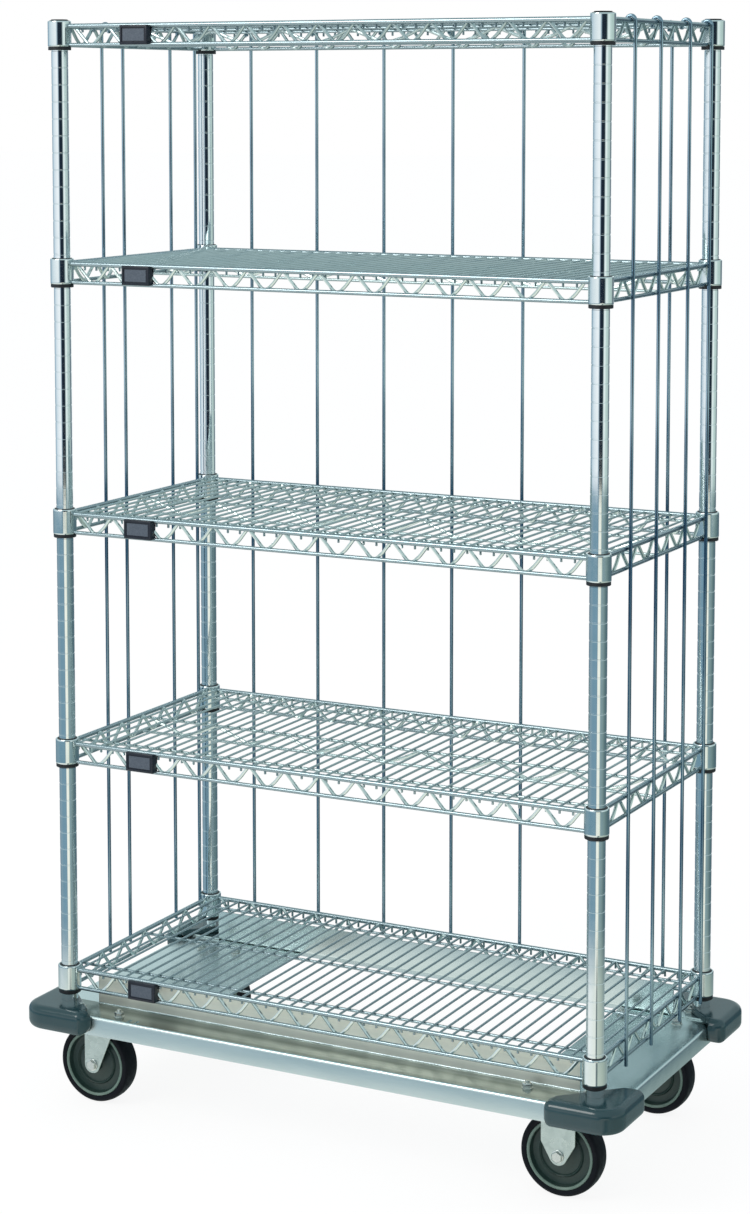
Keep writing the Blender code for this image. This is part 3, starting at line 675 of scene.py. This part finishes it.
def collar_profile():
    inner = SLEEVE_R + GAP
    return [
        (inner, -COLLAR_H), (COLLAR_R - 0.0007, -COLLAR_H), (COLLAR_R - 0.0002, -COLLAR_H + 0.0006),
        (COLLAR_R, -COLLAR_H + 0.002), (COLLAR_R, -COLLAR_H + 0.003), (COLLAR_R, -0.0026),
        (COLLAR_R, -0.0014), (COLLAR_R - 0.0002, -0.0006), (COLLAR_R - 0.0005, -0.0001),
        (COLLAR_R - 0.0009, 0), (inner, 0),
    ]


def shelf_mesh(name, centre_truss):
    """Welded wire shelf, with z at 0 on top of its collars."""
    shape = Shape()
    rim = -RIM_DROP
    low = rim - LOW_DROP
    inside = COLLAR_R - COLLAR_OVERLAP
    sides = (
        (post_x, 0, (0, -post_y)), (post_x, pi, (0, post_y)), (post_y, pi / 2, (post_x, 0)),
        (post_y, -pi / 2, (-post_x, 0)),
    )
    for half, turn, (x, y) in sides:
        stand = Matrix.Translation((x, y, 0)) @ Matrix.Rotation(turn, 4, "Z")
        reach = half - inside
        shape.tube([(-reach, 0, rim), (reach, 0, rim)], RIM_R, 12, 2, stand, 0)
        shape.tube([(-reach, 0, low), (reach, 0, low)], LOW_R, 12, 2, stand, 0)
        length = 2 * (half - COLLAR_R) - BRACE_CLEAR
        zigzag = brace_path(length, rim - RIM_WELD, low + LOW_WELD, BRACE_PERIOD, BRACE_BEND, LOW_BEND)
        shape.tube(zigzag, BRACE_R, 8, 3, stand @ Matrix.Translation((0, BRACE_INSET, 0)))
    deck = rim + DECK_RISE
    leg = post_y - RIM_R - DECK_R + DECK_WELD
    for index in range(DECK_COUNT):
        x = (index - (DECK_COUNT - 1) / 2) * DECK_PITCH
        path = [(x, -leg, rim - DECK_TAIL), (x, -leg, deck), (x, leg, deck), (x, leg, rim - DECK_TAIL)]
        shape.tube(rounded(path, DECK_BEND, 5), DECK_R, 8)
    stay = deck - DECK_R - STAY_R + STAY_WELD
    span = post_x - RIM_R * 0.6
    for y in (-STAY_Y, 0, STAY_Y):
        shape.tube([(-span, y, stay), (span, y, stay)], STAY_R, 10, tip=0)
    if centre_truss:
        foot = stay - CENTRE_DEPTH
        shape.tube([(-span, 0, foot), (span, 0, foot)], STAY_R, 10, tip=0)
        length = 2 * span - CENTRE_CLEAR
        bend = 2 * BRACE_BEND
        zigzag = brace_path(length, stay - CENTRE_WELD, foot + CENTRE_WELD, 2 * BRACE_PERIOD, bend, bend)
        shape.tube(zigzag, BRACE_R, 8, 3, Matrix.Translation((0, STAY_R, 0)))
    for sx, sy in CORNERS.values():
        shape.lathe(collar_profile(), 48, 1, Matrix.Translation((sx * post_x, sy * post_y, 0)), loop=True)
    return shape.mesh(name)


def build_shelves():
    low = shelf_mesh("wire_shelf_low", False)
    braced = shelf_mesh("wire_shelf_braced", True)
    meshes = {"bottom": low, "top": braced.copy()}
    for level in LEVELS:
        # The bottom and top decks take the darker painted-shade chrome; the braces take the lighter
        # painted-highlight chrome, except on the top shelf.
        deck = rim_shaded_chrome if level in meshes else wire_chrome
        brace = wire_chrome if level == "top" else brace_highlight_chrome
        metals = [deck, collar_chrome, rim_shaded_chrome, brace]
        at, node = (0, 0, shelf_tops[level]), ["shelf_" + level]
        mesh = meshes.get(level, braced)
        put("wire_shelf_" + level, mesh, metals, "cart", at, replaces=node)


# Hanging rods
def rod_mesh(name, drop):
    """Rod hooked over the rim at the origin; it hangs down on the +X side."""
    turn = RIM_R + GAP + ROD_R
    path = [(-turn, 0, -ROD_TAIL)]
    for step in range(15):
        angle = pi * (1 - step / 14)
        path.append((turn * cos(angle), 0, turn * sin(angle)))
    path.append((turn, 0, -drop))
    shape = Shape()
    shape.tube(path, ROD_R, 12)
    return shape.mesh(name)


def build_rods():
    rim = shelf_tops["top"] - RIM_DROP
    groups = (("back_rod_", 7, pi / 2), ("left_rod_", 4, pi), ("right_rod_", 4, 0))
    for prefix, count, turn in groups:
        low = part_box(prefix + "1")[0].z
        mesh = rod_mesh(prefix + "mesh", rim - low)
        for index in range(1, count + 1):
            node = prefix + str(index)
            seat = middle_of(node)
            if prefix == "back_rod_":
                at = (seat.x, post_y, rim)
            else:
                at = (post_x if prefix == "right_rod_" else -post_x, seat.y, rim)
            put("hanging_" + node, mesh, [rod_chrome], "cart", at, (0, 0, turn), [node])


# Dolly
def hex_nut(shape, at):
    """Nut on a washer with the bolt's end standing out of it."""
    stand = Matrix.Translation(at)
    washer = [(WASHER_R, 0), (WASHER_R, 0.0009), (WASHER_R - EDGE, WASHER_H), (0.0030, WASHER_H)]
    shape.lathe(washer, 28, matrix=stand)
    stand = stand @ Matrix.Translation((0, 0, WASHER_H - 0.0001))
    radius = NUT_ACROSS / 2 / cos(pi / 6)
    nut = [
        (radius * 0.93, 0), (radius, 0.0007), (radius, NUT_H - 0.0008), (radius * 0.9, NUT_H),
        (radius * 0.5, NUT_H),
    ]
    shape.lathe(nut, 6, matrix=stand)
    end = NUT_H + NUT_STUD
    shape.lathe([(STUD_R, NUT_H - 0.001), (STUD_R, end - 0.0006), (0.0028, end)], 20, matrix=stand)


def slot_cutters():
    """Cutters for the two slots in the front ledge."""
    cutters = []
    for x, y in SLOT_PLACES:
        left, right = x - SLOT_HALF_WIDTH, x + SLOT_HALF_WIDTH
        near, far = y - SLOT_HALF_LENGTH, y + SLOT_HALF_LENGTH
        outline = [(left, near), (right, near), (right, far), (left, far)]
        tool = Shape()
        outline = rounded(outline, SLOT_HALF_WIDTH * 0.9, 4, True)
        tool.prism(outline, ledge_top - 2 * SHEET, ledge_top + SHEET)
        cutters.append(tool.mesh("slot", 0))
    return cutters


def build_rails():
    """Front and back rail: flange, ledge and upstand, with flat corners."""
    inner = dolly_y - rail_width
    half = SHEET / 2
    full = [
        (-dolly_y + half, flange_low), (-dolly_y + half, ledge_top - half),
        (-inner - half, ledge_top - half), (-inner - half, rail_high.z),
    ]
    short = full[:2] + [(-inner, ledge_top - half)]
    run_end = dolly_x - CORNER_CUT
    runs = (
        (full, -UPSTAND_HALF, UPSTAND_HALF), (short, -run_end, -UPSTAND_HALF + SHEET_LAP),
        (short, UPSTAND_HALF - SHEET_LAP, run_end),
    )
    corner = [
        (run_end - CORNER_LAP, -dolly_y + 0.0012), (dolly_x - FINE_EDGE, -dolly_y + CORNER_CUT),
        (dolly_x - FINE_EDGE, -inner), (run_end - CORNER_LAP, -inner),
    ]
    for turn, name in ((0, "front"), (pi, "back")):
        shape = Shape()
        for path, low, high in runs:
            shape.prism(strip_outline(path, SHEET, SHEET_BEND, 6), low, high, matrix=ALONG_X)
        for sx in (-1, 1):
            outline = [(sx * x, y) for x, y in corner]
            shape.prism(outline[::sx], ledge_top - SHEET, ledge_top)
        cutters = slot_cutters() if name == "front" else ()
        mesh = joined("dolly_rail_" + name, shape.mesh("rail_" + name), cutters)
        # Painted shade: upright front faces get the upstand colours, darkened at the foot, and lying ledge
        # faces get a darker copy of the sheet metal. The back rail's ledge faces also get a darker copy.
        for face in mesh.polygons:
            upright = face.normal.y < -0.9 and face.center.z > ledge_top + SHEET_BEND
            lying = face.normal.z > 0.9 and abs(face.center.z - ledge_top) < GAP
            if name == "front":
                face.material_index = 1 if upright else 2 if lying else 0
            else:
                face.material_index = 1 if lying else 0
        finish_mesh(mesh, 30)
        metals = [dolly_metal, warm_metal_shaded_foot, front_ledge_painted_shade] if name == "front" else [dolly_metal, back_ledge_painted_shade]
        node = ["dolly_%s_rail" % name]
        put("dolly_rail_sheet_" + name, mesh, metals, "cart", turn=(0, 0, turn), replaces=node)


def build_end_sheets():
    """Left plate and right pan, tucked under the rails and folded down at the end."""
    reach = dolly_y - SHEET - GAP
    middle = pan_top - SHEET / 2
    run = reach - CORNER_CUT
    for name, side in (("dolly_left_plate", -1), ("dolly_right_pan", 1)):
        low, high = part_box(name)
        inside = low.x if side > 0 else high.x
        fold = side * (dolly_x - SHEET / 2)
        folded = strip_outline([(inside, middle), (fold, middle), (fold, flange_low)], SHEET, SHEET_BEND, 6)
        flat = strip_outline([(inside, middle), (side * (dolly_x - CORNER_CUT), middle)], SHEET, 0)
        shape = Shape()
        shape.prism(folded, -run, run, matrix=ALONG_Y)
        for near, far in ((-reach, -run + SHEET_LAP), (run - SHEET_LAP, reach)):
            shape.prism(flat, near, far, matrix=ALONG_Y)
        mesh = shape.mesh(name + "_sheet", 30)
        # Painted shade: the pan's top faces get the darker copy of the sheet metal.
        for face in mesh.polygons:
            face.material_index = 1 if side > 0 and face.normal.z > 0.9 else 0
        put(name + "_sheet", mesh, [dolly_metal, pan_top_painted_shade], "cart", replaces=[name])


# Bumpers
def bumper_arms():
    """L-shaped moulding round the dolly's corner; the corner's centre is at the origin."""
    low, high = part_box("bumper_front_right")
    thick = high.x - dolly_x
    middle = (low.z + high.z) / 2
    arm = high.x - low.x - thick - CORNER_CUT - BUMPER_END
    side = thick - BUMPER_ROUND
    lower = arc((side, low.z + BUMPER_ROUND), BUMPER_ROUND, -pi / 2, 0, 6)
    upper = arc((side, high.z - BUMPER_ROUND), BUMPER_ROUND, 0, pi / 2, 6)
    section = [(GAP, low.z), *lower, *upper, (GAP, high.z)]

    def left_arm(out, angle):
        return -(arm + BUMPER_END * cos(angle)), -out

    def bend(out, angle):
        return (CORNER_CUT + out) * sin(angle), CORNER_CUT - (CORNER_CUT + out) * cos(angle)

    def right_arm(out, angle):
        return CORNER_CUT + out, CORNER_CUT + arm + BUMPER_END * cos(angle)

    def ring(place_at, angle, share=1.0):
        made = []
        for out, height in section:
            rise = (height - middle) * (1 - (1 - share) * 0.9)
            made.append((*place_at(GAP + (out - GAP) * share, angle), middle + rise))
        return made

    ends = [(angle, max(sin(angle), 0.18)) for angle in quarter_turn(8)]
    rings = [ring(left_arm, *end) for end in ends]
    rings += [ring(bend, angle) for angle in quarter_turn(12)]
    rings += [ring(right_arm, *end) for end in reversed(ends)]
    shape = Shape()
    shape.rings(rings)
    return shape.mesh("bumper_arms", 0)


def build_bumpers():
    arms = bumper_arms()
    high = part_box("bumper_front_right")[1].z
    outer = CORNER_CUT + WEB_INSET
    outline = [(-WEB_REACH, -WEB_INSET)]
    outline += [(outer * sin(angle), CORNER_CUT - outer * cos(angle)) for angle in quarter_turn(6)]
    outline += [
        (outer, CORNER_CUT + WEB_REACH), (CORNER_CUT - BUMPER_LIP, CORNER_CUT + WEB_REACH),
        (-WEB_REACH, BUMPER_LIP),
    ]
    web = Shape()
    web.prism(outline, ledge_top + GAP, high)
    hole = Shape()
    centre = Matrix.Translation((CORNER_CUT - (dolly_x - post_x), dolly_y - post_y, 0))
    bore = POST_R + POST_CLEAR
    hole.lathe([(bore, ledge_top - OVERRUN), (bore, high + OVERRUN)], 40, matrix=centre)
    soft = (
        ("REMESH", {"mode": "VOXEL", "voxel_size": BUMPER_VOXEL}),
        ("SMOOTH", {"factor": 0.5, "iterations": 9}),
    )
    solid = joined("bumper_solid", arms, unions=[web.mesh("bumper_web", 0)])
    solid = joined("bumper_soft", solid, modifiers=soft)
    base = joined("bumper_form", solid, cutters=[hole.mesh("bumper_hole", 0)])
    base.materials.clear()
    base.materials.append(bumper_vinyl)
    for corner, (sx, sy) in CORNERS.items():
        mesh = mirrored(base, "bumper_form_" + corner, sx, -sy)
        finish_mesh(mesh, 55)
        at = (sx * (dolly_x - CORNER_CUT), sy * dolly_y, 0)
        name, node = "bumper_moulding_" + corner, ["bumper_" + corner]
        put(name, mesh, [bumper_vinyl], "cart", at, replaces=node)


# Label holders
def build_labels():
    low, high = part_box("label_holder_top")
    bm = bmesh.new()
    bmesh.ops.create_cube(bm, size=1)
    size = Matrix.Diagonal((high.x - low.x, LABEL_DEPTH, high.z - low.z, 1))
    bmesh.ops.transform(bm, matrix=Matrix.Translation((0, LABEL_DEPTH / 2, 0)) @ size, verts=bm.verts)
    bmesh.ops.bevel(bm, geom=list(bm.edges), offset=LABEL_ROUND, segments=3, profile=0.5, affect="EDGES")
    front = min(bm.faces, key=lambda face: face.calc_center_median().y)
    insets = ((LABEL_BORDER - LABEL_ROUND, 0), (0.0005, 0.0011), (0.0016, 0), (0.0003, -0.0004))
    for inset, push in insets:
        bmesh.ops.inset_region(bm, faces=[front], thickness=inset)
        bmesh.ops.translate(bm, verts=front.verts, vec=(0, push, 0))
    front.material_index = 1
    mesh = bpy.data.meshes.new("label_holder")
    bm.to_mesh(mesh)
    bm.free()
    finish_mesh(mesh, 40)
    for level in LEVELS:
        node = "label_holder_" + level
        low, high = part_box(node)
        at = ((low.x + high.x) / 2, low.y, (low.z + high.z) / 2)
        looks = [label_black, label_grey]
        put("label_frame_" + level, mesh, looks, "cart", at, replaces=[node])


# Casters
def tyre_mesh():
    """Its axis lies along Y once placed; its crown has the wheel's full radius."""
    shoulder_r, rise, run = 0.0565, 0.0045, 0.0055
    profile = [(0.0515, -TYRE_HALF + 0.0006), (0.0528, -TYRE_HALF)]
    for angle in quarter_turn(8):
        profile.append((shoulder_r + rise * sin(angle), -TYRE_HALF + run - run * cos(angle)))
    profile += [(WHEEL_R - 0.0001, -0.006), (WHEEL_R, 0)]
    profile += [(radius, -height) for radius, height in reversed(profile[:-1])]
    shape = Shape()
    shape.lathe(profile, 72, loop=True)
    return shape.mesh("tyre_form")


def hub_mesh():
    bore = 0.0053
    side = [
        (0.0094, 0.0181), (0.0110, 0.0176), (0.0118, 0.0165), (0.0126, 0.0110), (0.0150, 0.0092),
        (0.0300, 0.0082), (0.0312, 0.0102), (0.0322, 0.0110), (0.0334, 0.0102), (0.0346, 0.0078),
        (0.0400, 0.0066), (0.0446, 0.0070), (0.0462, 0.0100),
    ]
    rim = [
        (0.0466, 0.0142), (0.0474, 0.0156), (0.0486, 0.0162), (0.0500, 0.0161), (0.0509, 0.0154),
        (0.0513, 0.0142),
    ]
    shape = Shape()
    body = [(bore, -0.0178), (0.0062, -0.0181), *[(r, -h) for r, h in side]]
    profile = body + [(r, -h) for r, h in rim]
    profile += [(r, -h) for r, h in reversed(profile)]
    segments = 72
    shape.lathe(profile, segments, loop=True)
    # Painted highlight: the rim ring's rows take the lighter plastic, which stands in for the highlight
    # along the ring.
    for row in range(len(body), len(body) + 2 * len(rim) - 1):
        for step in range(segments):
            shape.slots[row * segments + step] = 1
    return shape.mesh("hub_form")


def axle_mesh():
    shape = Shape()
    face, shaft, head = 0.0218, 0.0049, 0.0088
    low = face + 0.001
    high = low + 0.0038
    shape.lathe([(shaft, -face - 0.001), (shaft, face + 0.001)], 24)
    washer = [(0.0094, face), (0.0094, face + 0.0008), (0.0090, face + 0.0011), (0.0040, face + 0.0011)]
    hexagon = [
        (head * 0.95, low), (head, low + 0.0005), (head, low + 0.0028), (head * 0.86, high),
        (head * 0.5, high),
    ]
    for turn in (0, pi):
        stand = Matrix.Rotation(turn, 4, "X")
        shape.lathe(washer, 32, matrix=stand)
        shape.lathe(hexagon, 6, matrix=stand)
    return shape.mesh("axle_form")


def leg_form(shape, outline):
    """Both legs of a fork or yoke, from one outline drawn in XZ."""
    for low, high in ((FORK_INNER, FORK_OUTER), (-FORK_OUTER, -FORK_INNER)):
        shape.prism(outline, low, high, matrix=ALONG_Y, edge=EDGE)


def leg_outline(axle, left, right):
    """Counter-clockwise outline: down the left points, round the axle, up the right ones."""

    def touch(point, side):
        away = (point[0] - axle[0], point[1] - axle[1])
        return atan2(away[1], away[0]) + side * acos(FORK_FOOT_R / hypot(*away))

    start = touch(left[-1], 1)
    stop = touch(right[0], -1)
    while stop < start:
        stop += 2 * pi
    return [*left, *arc(axle, FORK_FOOT_R, start, stop, 14), *right]


def bolt_heads(shape, spread, under):
    """Four carriage bolt heads under a caster plate."""
    head = [(0.0075, 0), (0.0074, 0.0008), (0.0062, 0.0022), (0.0036, 0.0032), (0.0010, 0.0035)]
    for sx, sy in CORNERS.values():
        at = Matrix.Translation((sx * spread[0], sy * spread[1], under))
        shape.lathe(head, 28, 1, at @ Matrix.Rotation(pi, 4, "X"))


def rigid_fork_mesh():
    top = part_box("caster_front_right_fork")[1].z
    middle = top - CASTER_SHEET / 2
    half, knee = RIGID_LEG_HALF, WHEEL_R + 0.019
    shape = Shape()
    shape.prism(rounded_rectangle(*RIGID_PLATE_HALF, 0.005), top - CASTER_SHEET, top, edge=EDGE)
    outline = leg_outline((0, WHEEL_R), [(-half, middle), (-half, knee)], [(half, knee), (half, middle)])
    outline = rounded(outline, [0, 0.009, *[0] * (len(outline) - 4), 0.009, 0], 5, True)
    leg_form(shape, outline)
    for way in (-1, 1):
        upright = way * FORK_MIDDLE
        bend = [(upright, top - 0.012), (upright, middle), (way * 0.0305, middle)]
        shape.prism(strip_outline(bend, CASTER_SHEET, 0.0055, 5), -half, half, matrix=ALONG_X)
    bolt_heads(shape, RIGID_BOLTS, top - CASTER_SHEET)
    return shape.mesh("rigid_fork_form")


def swivel_plate_mesh():
    low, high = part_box("caster_front_left_top_plate")
    top = high.z
    under = top - CASTER_SHEET
    shape = Shape()
    shape.prism(rounded_rectangle(*SWIVEL_PLATE_HALF, 0.006), under, top, edge=EDGE)
    race = [
        (0.0300, under + 0.0006), (0.0296, under - 0.0010), (0.0270, under - 0.0022),
        (0.0238, under - 0.0048), (0.0200, under - 0.0049), (0.0062, under - 0.0049),
        (0.0062, low.z + 0.0032), (0.0058, low.z + 0.0032), (0.0058, low.z), (0.0030, low.z),
    ]
    shape.lathe(race, 48)
    bolt_heads(shape, SWIVEL_BOLTS, under)
    return shape.mesh("swivel_plate_form")


def yoke_mesh():
    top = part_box("caster_front_left_yoke")[1].z
    web = top - 0.010 + CASTER_SHEET / 2
    shape = Shape()
    race = [
        (0.0064, top - 0.0002), (0.0230, top - 0.0002), (0.0262, top), (0.0300, top - 0.0006),
        (0.0309, top - 0.0020), (0.0309, top - 0.0048), (0.0296, top - 0.0062),
        (0.0270, top - 0.0074), (0.0064, top - 0.0074),
    ]
    shape.lathe(race, 56, loop=True)
    left_x = -SWIVEL_TRAIL - FORK_FOOT_R
    left = [(left_x, web), (left_x, WHEEL_R + 0.004)]
    leg_form(shape, leg_outline((-SWIVEL_TRAIL, WHEEL_R), left, [(0.0128, web)]))
    foot = web - 0.0105
    bend = [(-FORK_MIDDLE, foot), (-FORK_MIDDLE, web), (FORK_MIDDLE, web), (FORK_MIDDLE, foot)]
    cross = strip_outline(bend, CASTER_SHEET, 0.005, 5)
    shape.prism(cross, left_x + SHEET_LAP, 0.0122, matrix=ALONG_X)
    return shape.mesh("yoke_form")


def build_casters():
    tyre, hub, axle = tyre_mesh(), hub_mesh(), axle_mesh()
    fork, plate, yoke = rigid_fork_mesh(), swivel_plate_mesh(), yoke_mesh()
    zincs, plastics = [caster_zinc, bolt_zinc], [hub_plastic, rim_highlight_plastic]
    lying = (pi / 2, 0, 0)
    nuts = Shape()
    for corner, (side, _) in CORNERS.items():
        name, turning = "caster_" + corner, "wheel_" + corner
        at = middle_of(name + "_tyre")
        if side > 0:
            body, spread = "cart", RIGID_BOLTS
            seat = (at.x, at.y, 0)
            put(name + "_fork_form", fork, zincs, body, seat, replaces=[name + "_fork"])
        else:
            body, spread = "swivel_" + corner, SWIVEL_BOLTS
            centre = middle_of(name + "_top_plate")
            seat = (centre.x, centre.y, 0)
            node = [name + "_top_plate"]
            put(name + "_plate_form", plate, zincs, "cart", seat, replaces=node)
            node = [name + "_yoke"]
            put(name + "_yoke_form", yoke, [caster_zinc], body, seat, replaces=node)
        for px in (-1, 1):
            for py in (-1, 1):
                x, y = seat[0] + px * spread[0], seat[1] + py * spread[1]
                on_ledge = abs(y) > dolly_y - rail_width
                hex_nut(nuts, (x, y, ledge_top if on_ledge else pan_top))
        put(name + "_axle_form", axle, [bolt_zinc], body, at, lying, [name + "_axle_bolt"])
        put(name + "_hub_form", hub, plastics, turning, at, lying, [name + "_hub"])
        put(name + "_tyre_form", tyre, [tyre_rubber], turning, at, lying, [name + "_tyre"])
    put("caster_nuts", nuts.mesh("caster_nuts"), [bolt_zinc], "cart")


build_posts()
build_shelves()
build_rods()
build_rails()
build_end_sheets()
build_bumpers()
build_labels()
build_casters()


# Floor, background, light and camera
def build_floor():
    mesh = bpy.data.meshes.new("studio_floor")
    far = FLOOR_REACH
    mesh.from_pydata([(-far, -far, 0), (far, -far, 0), (far, far, 0), (-far, far, 0)], [], [(0, 1, 2, 3)])
    floor = new_object("studio_floor", mesh)
    floor.location.z = -FLOOR_DROP
    material = bpy.data.materials.new("studio_floor")
    material.use_nodes = True
    tree = material.node_tree
    tree.nodes.clear()
    matte = add_node(tree, "BsdfDiffuse", {"Color": (0.9, 0.9, 0.9, 1)}).outputs[0]
    white = add_node(tree, "Emission", {"Strength": 1.05}).outputs[0]
    rays = add_node(tree, "LightPath").outputs
    seen = rays["Is Camera Ray"]
    for kind in ("Is Glossy Ray", "Is Transmission Ray"):
        seen = add_node(tree, "Math", {0: seen, 1: rays[kind]}, operation="MAXIMUM").outputs[0]
    share = add_node(tree, "Math", {0: seen, 1: 0.85}, operation="MULTIPLY").outputs[0]
    mix = add_node(tree, "MixShader", {0: share, 1: matte, 2: white}).outputs[0]
    add_node(tree, "OutputMaterial", {"Surface": mix})
    mesh.materials.append(material)
    floor.visible_glossy = False


def build_world():
    """White for the camera; glossy rays see a pale studio with dark flags instead of it."""
    world = bpy.data.worlds.new("studio")
    bpy.context.scene.world = world
    world.use_nodes = True
    tree = world.node_tree
    tree.nodes.clear()
    seen = add_node(tree, "Background", {"Color": (1, 1, 1, 1)}).outputs[0]
    light = add_node(tree, "Background", {"Color": (0.93, 0.97, 1, 1), "Strength": 0.8}).outputs[0]
    view = add_node(tree, "TexCoord").outputs["Generated"]
    parts = add_node(tree, "SeparateXYZ", {0: view}).outputs
    minus = add_node(tree, "Math", {0: parts["Y"], 1: -1}, operation="MULTIPLY").outputs[0]
    angle = add_node(tree, "Math", {0: parts["X"], 1: minus}, operation="ARCTAN2").outputs[0]
    turn = add_node(tree, "MapRange", {"Value": angle, "From Min": -pi, "From Max": pi}).outputs[0]
    level = (
        (-180, 0.82, 0.94, 0.94), (-136, 0.82, 0.94, 0.94), (-122, 0.2, 0.3, 0.4),
        (-105, 0.3, 0.43, 0.53), (-85, 0.58, 0.71, 0.79), (-55, 0.8, 0.88, 0.93),
        (-15, 0.96, 1, 1.02), (-2, 0.96, 1, 1.02), (8, 0.4, 0.52, 0.6), (12, 0.16, 0.23, 0.29),
        (18, 0.012, 0.022, 0.04), (54, 0.014, 0.024, 0.036), (60, 0.24, 0.31, 0.32),
        (67, 0.8, 0.9, 0.88), (78, 0.92, 1, 0.96), (90, 0.68, 0.82, 0.78), (110, 0.54, 0.68, 0.64),
        (130, 0.52, 0.66, 0.62), (143, 0.22, 0.27, 0.29), (158, 0.11, 0.15, 0.19),
        (172, 0.2, 0.26, 0.3), (180, 0.82, 0.94, 0.94),
    )
    below = (
        (-180, 0.1, 0.16, 0.2), (-140, 0.12, 0.19, 0.24), (-105, 0.2, 0.31, 0.38),
        (-75, 0.25, 0.37, 0.44), (-40, 0.19, 0.33, 0.42), (8, 0.2, 0.34, 0.43), (13, 0.14, 0.24, 0.3),
        (19, 0.96, 0.98, 0.9), (46, 1, 1, 0.86), (54, 0.34, 0.45, 0.44), (65, 0.24, 0.35, 0.38),
        (90, 0.22, 0.32, 0.32), (115, 0.14, 0.22, 0.23), (135, 0.1, 0.17, 0.19),
        (180, 0.1, 0.16, 0.2),
    )
    ground = (
        (-180, 0.42, 0.52, 0.5), (-110, 0.52, 0.62, 0.61), (-60, 0.94, 0.98, 0.96),
        (20, 0.88, 0.92, 0.84), (28, 0.8, 0.85, 0.8), (35, 0.12, 0.17, 0.18), (43, 0.12, 0.17, 0.18),
        (52, 0.56, 0.64, 0.56), (100, 0.46, 0.54, 0.47), (150, 0.3, 0.38, 0.37),
        (180, 0.42, 0.52, 0.5),
    )

    def azimuth_ramp(stops):
        ramp = add_node(tree, "ValToRGB", {0: turn})
        elements = ramp.color_ramp.elements
        while len(elements) < len(stops):
            elements.new(0.5)
        for element, (degrees, *colour) in zip(elements, stops):
            element.position = (degrees + 180) / 360
            element.color = (*colour, 1)
        return ramp.outputs[0]

    def change(first, second, start, stop):
        """Go from one colour to the next between two heights of the sky."""
        height = add_node(tree, "MapRange", {"Value": parts["Z"], "From Min": start, "From Max": stop})
        inputs = {"Factor": height.outputs[0], "A": first, "B": second}
        return add_node(tree, "Mix", inputs, data_type="RGBA").outputs["Result"]

    sky = change(azimuth_ramp(level), azimuth_ramp(below), -0.1435, -0.1470)
    sky = change(sky, (0.53, 0.66, 0.68, 1), 0.10, 0.24)
    sky = change(sky, azimuth_ramp(ground), -0.300, -0.325)
    studio = add_node(tree, "Background", {"Color": sky}).outputs[0]
    rays = add_node(tree, "LightPath").outputs
    glossy = add_node(tree, "MixShader", {0: rays["Is Glossy Ray"], 1: light, 2: studio}).outputs[0]
    direct = {0: rays["Is Camera Ray"], 1: rays["Is Transmission Ray"]}
    clear = add_node(tree, "Math", direct, operation="MAXIMUM").outputs[0]
    last = add_node(tree, "MixShader", {0: clear, 1: glossy, 2: seen}).outputs[0]
    add_node(tree, "OutputWorld", {"Surface": last})


def build_lamp(name, location, size, watts, colour):
    data = bpy.data.lights.new(name, "AREA")
    data.shape = "DISK"
    data.size = size
    data.energy = watts
    data.color = colour
    lamp = new_object(name, data)
    lamp.location = location
    aim = Vector(LAMP_AIM) - Vector(location)
    lamp.rotation_euler = aim.to_track_quat("-Z", "Y").to_euler()


def build_camera():
    data = bpy.data.cameras.new("camera")
    data.sensor_width = 36.0
    data.lens = PHOTO_LENS
    data.shift_y = CAMERA_SHIFT
    data.clip_end = 200.0
    camera = new_object("camera", data)
    camera.location = CAMERA_PLACE
    camera.rotation_euler = (radians(90 - CAMERA_LOOK_DOWN), 0, radians(CAMERA_TURN))
    bpy.context.scene.camera = camera


build_floor()
build_world()
build_lamp("key_light", (-1.6, -3.2, 3.4), 2.2, 58, (1.0, 0.98, 0.95))
build_camera()
bpy.context.scene.view_settings.view_transform = "Standard"
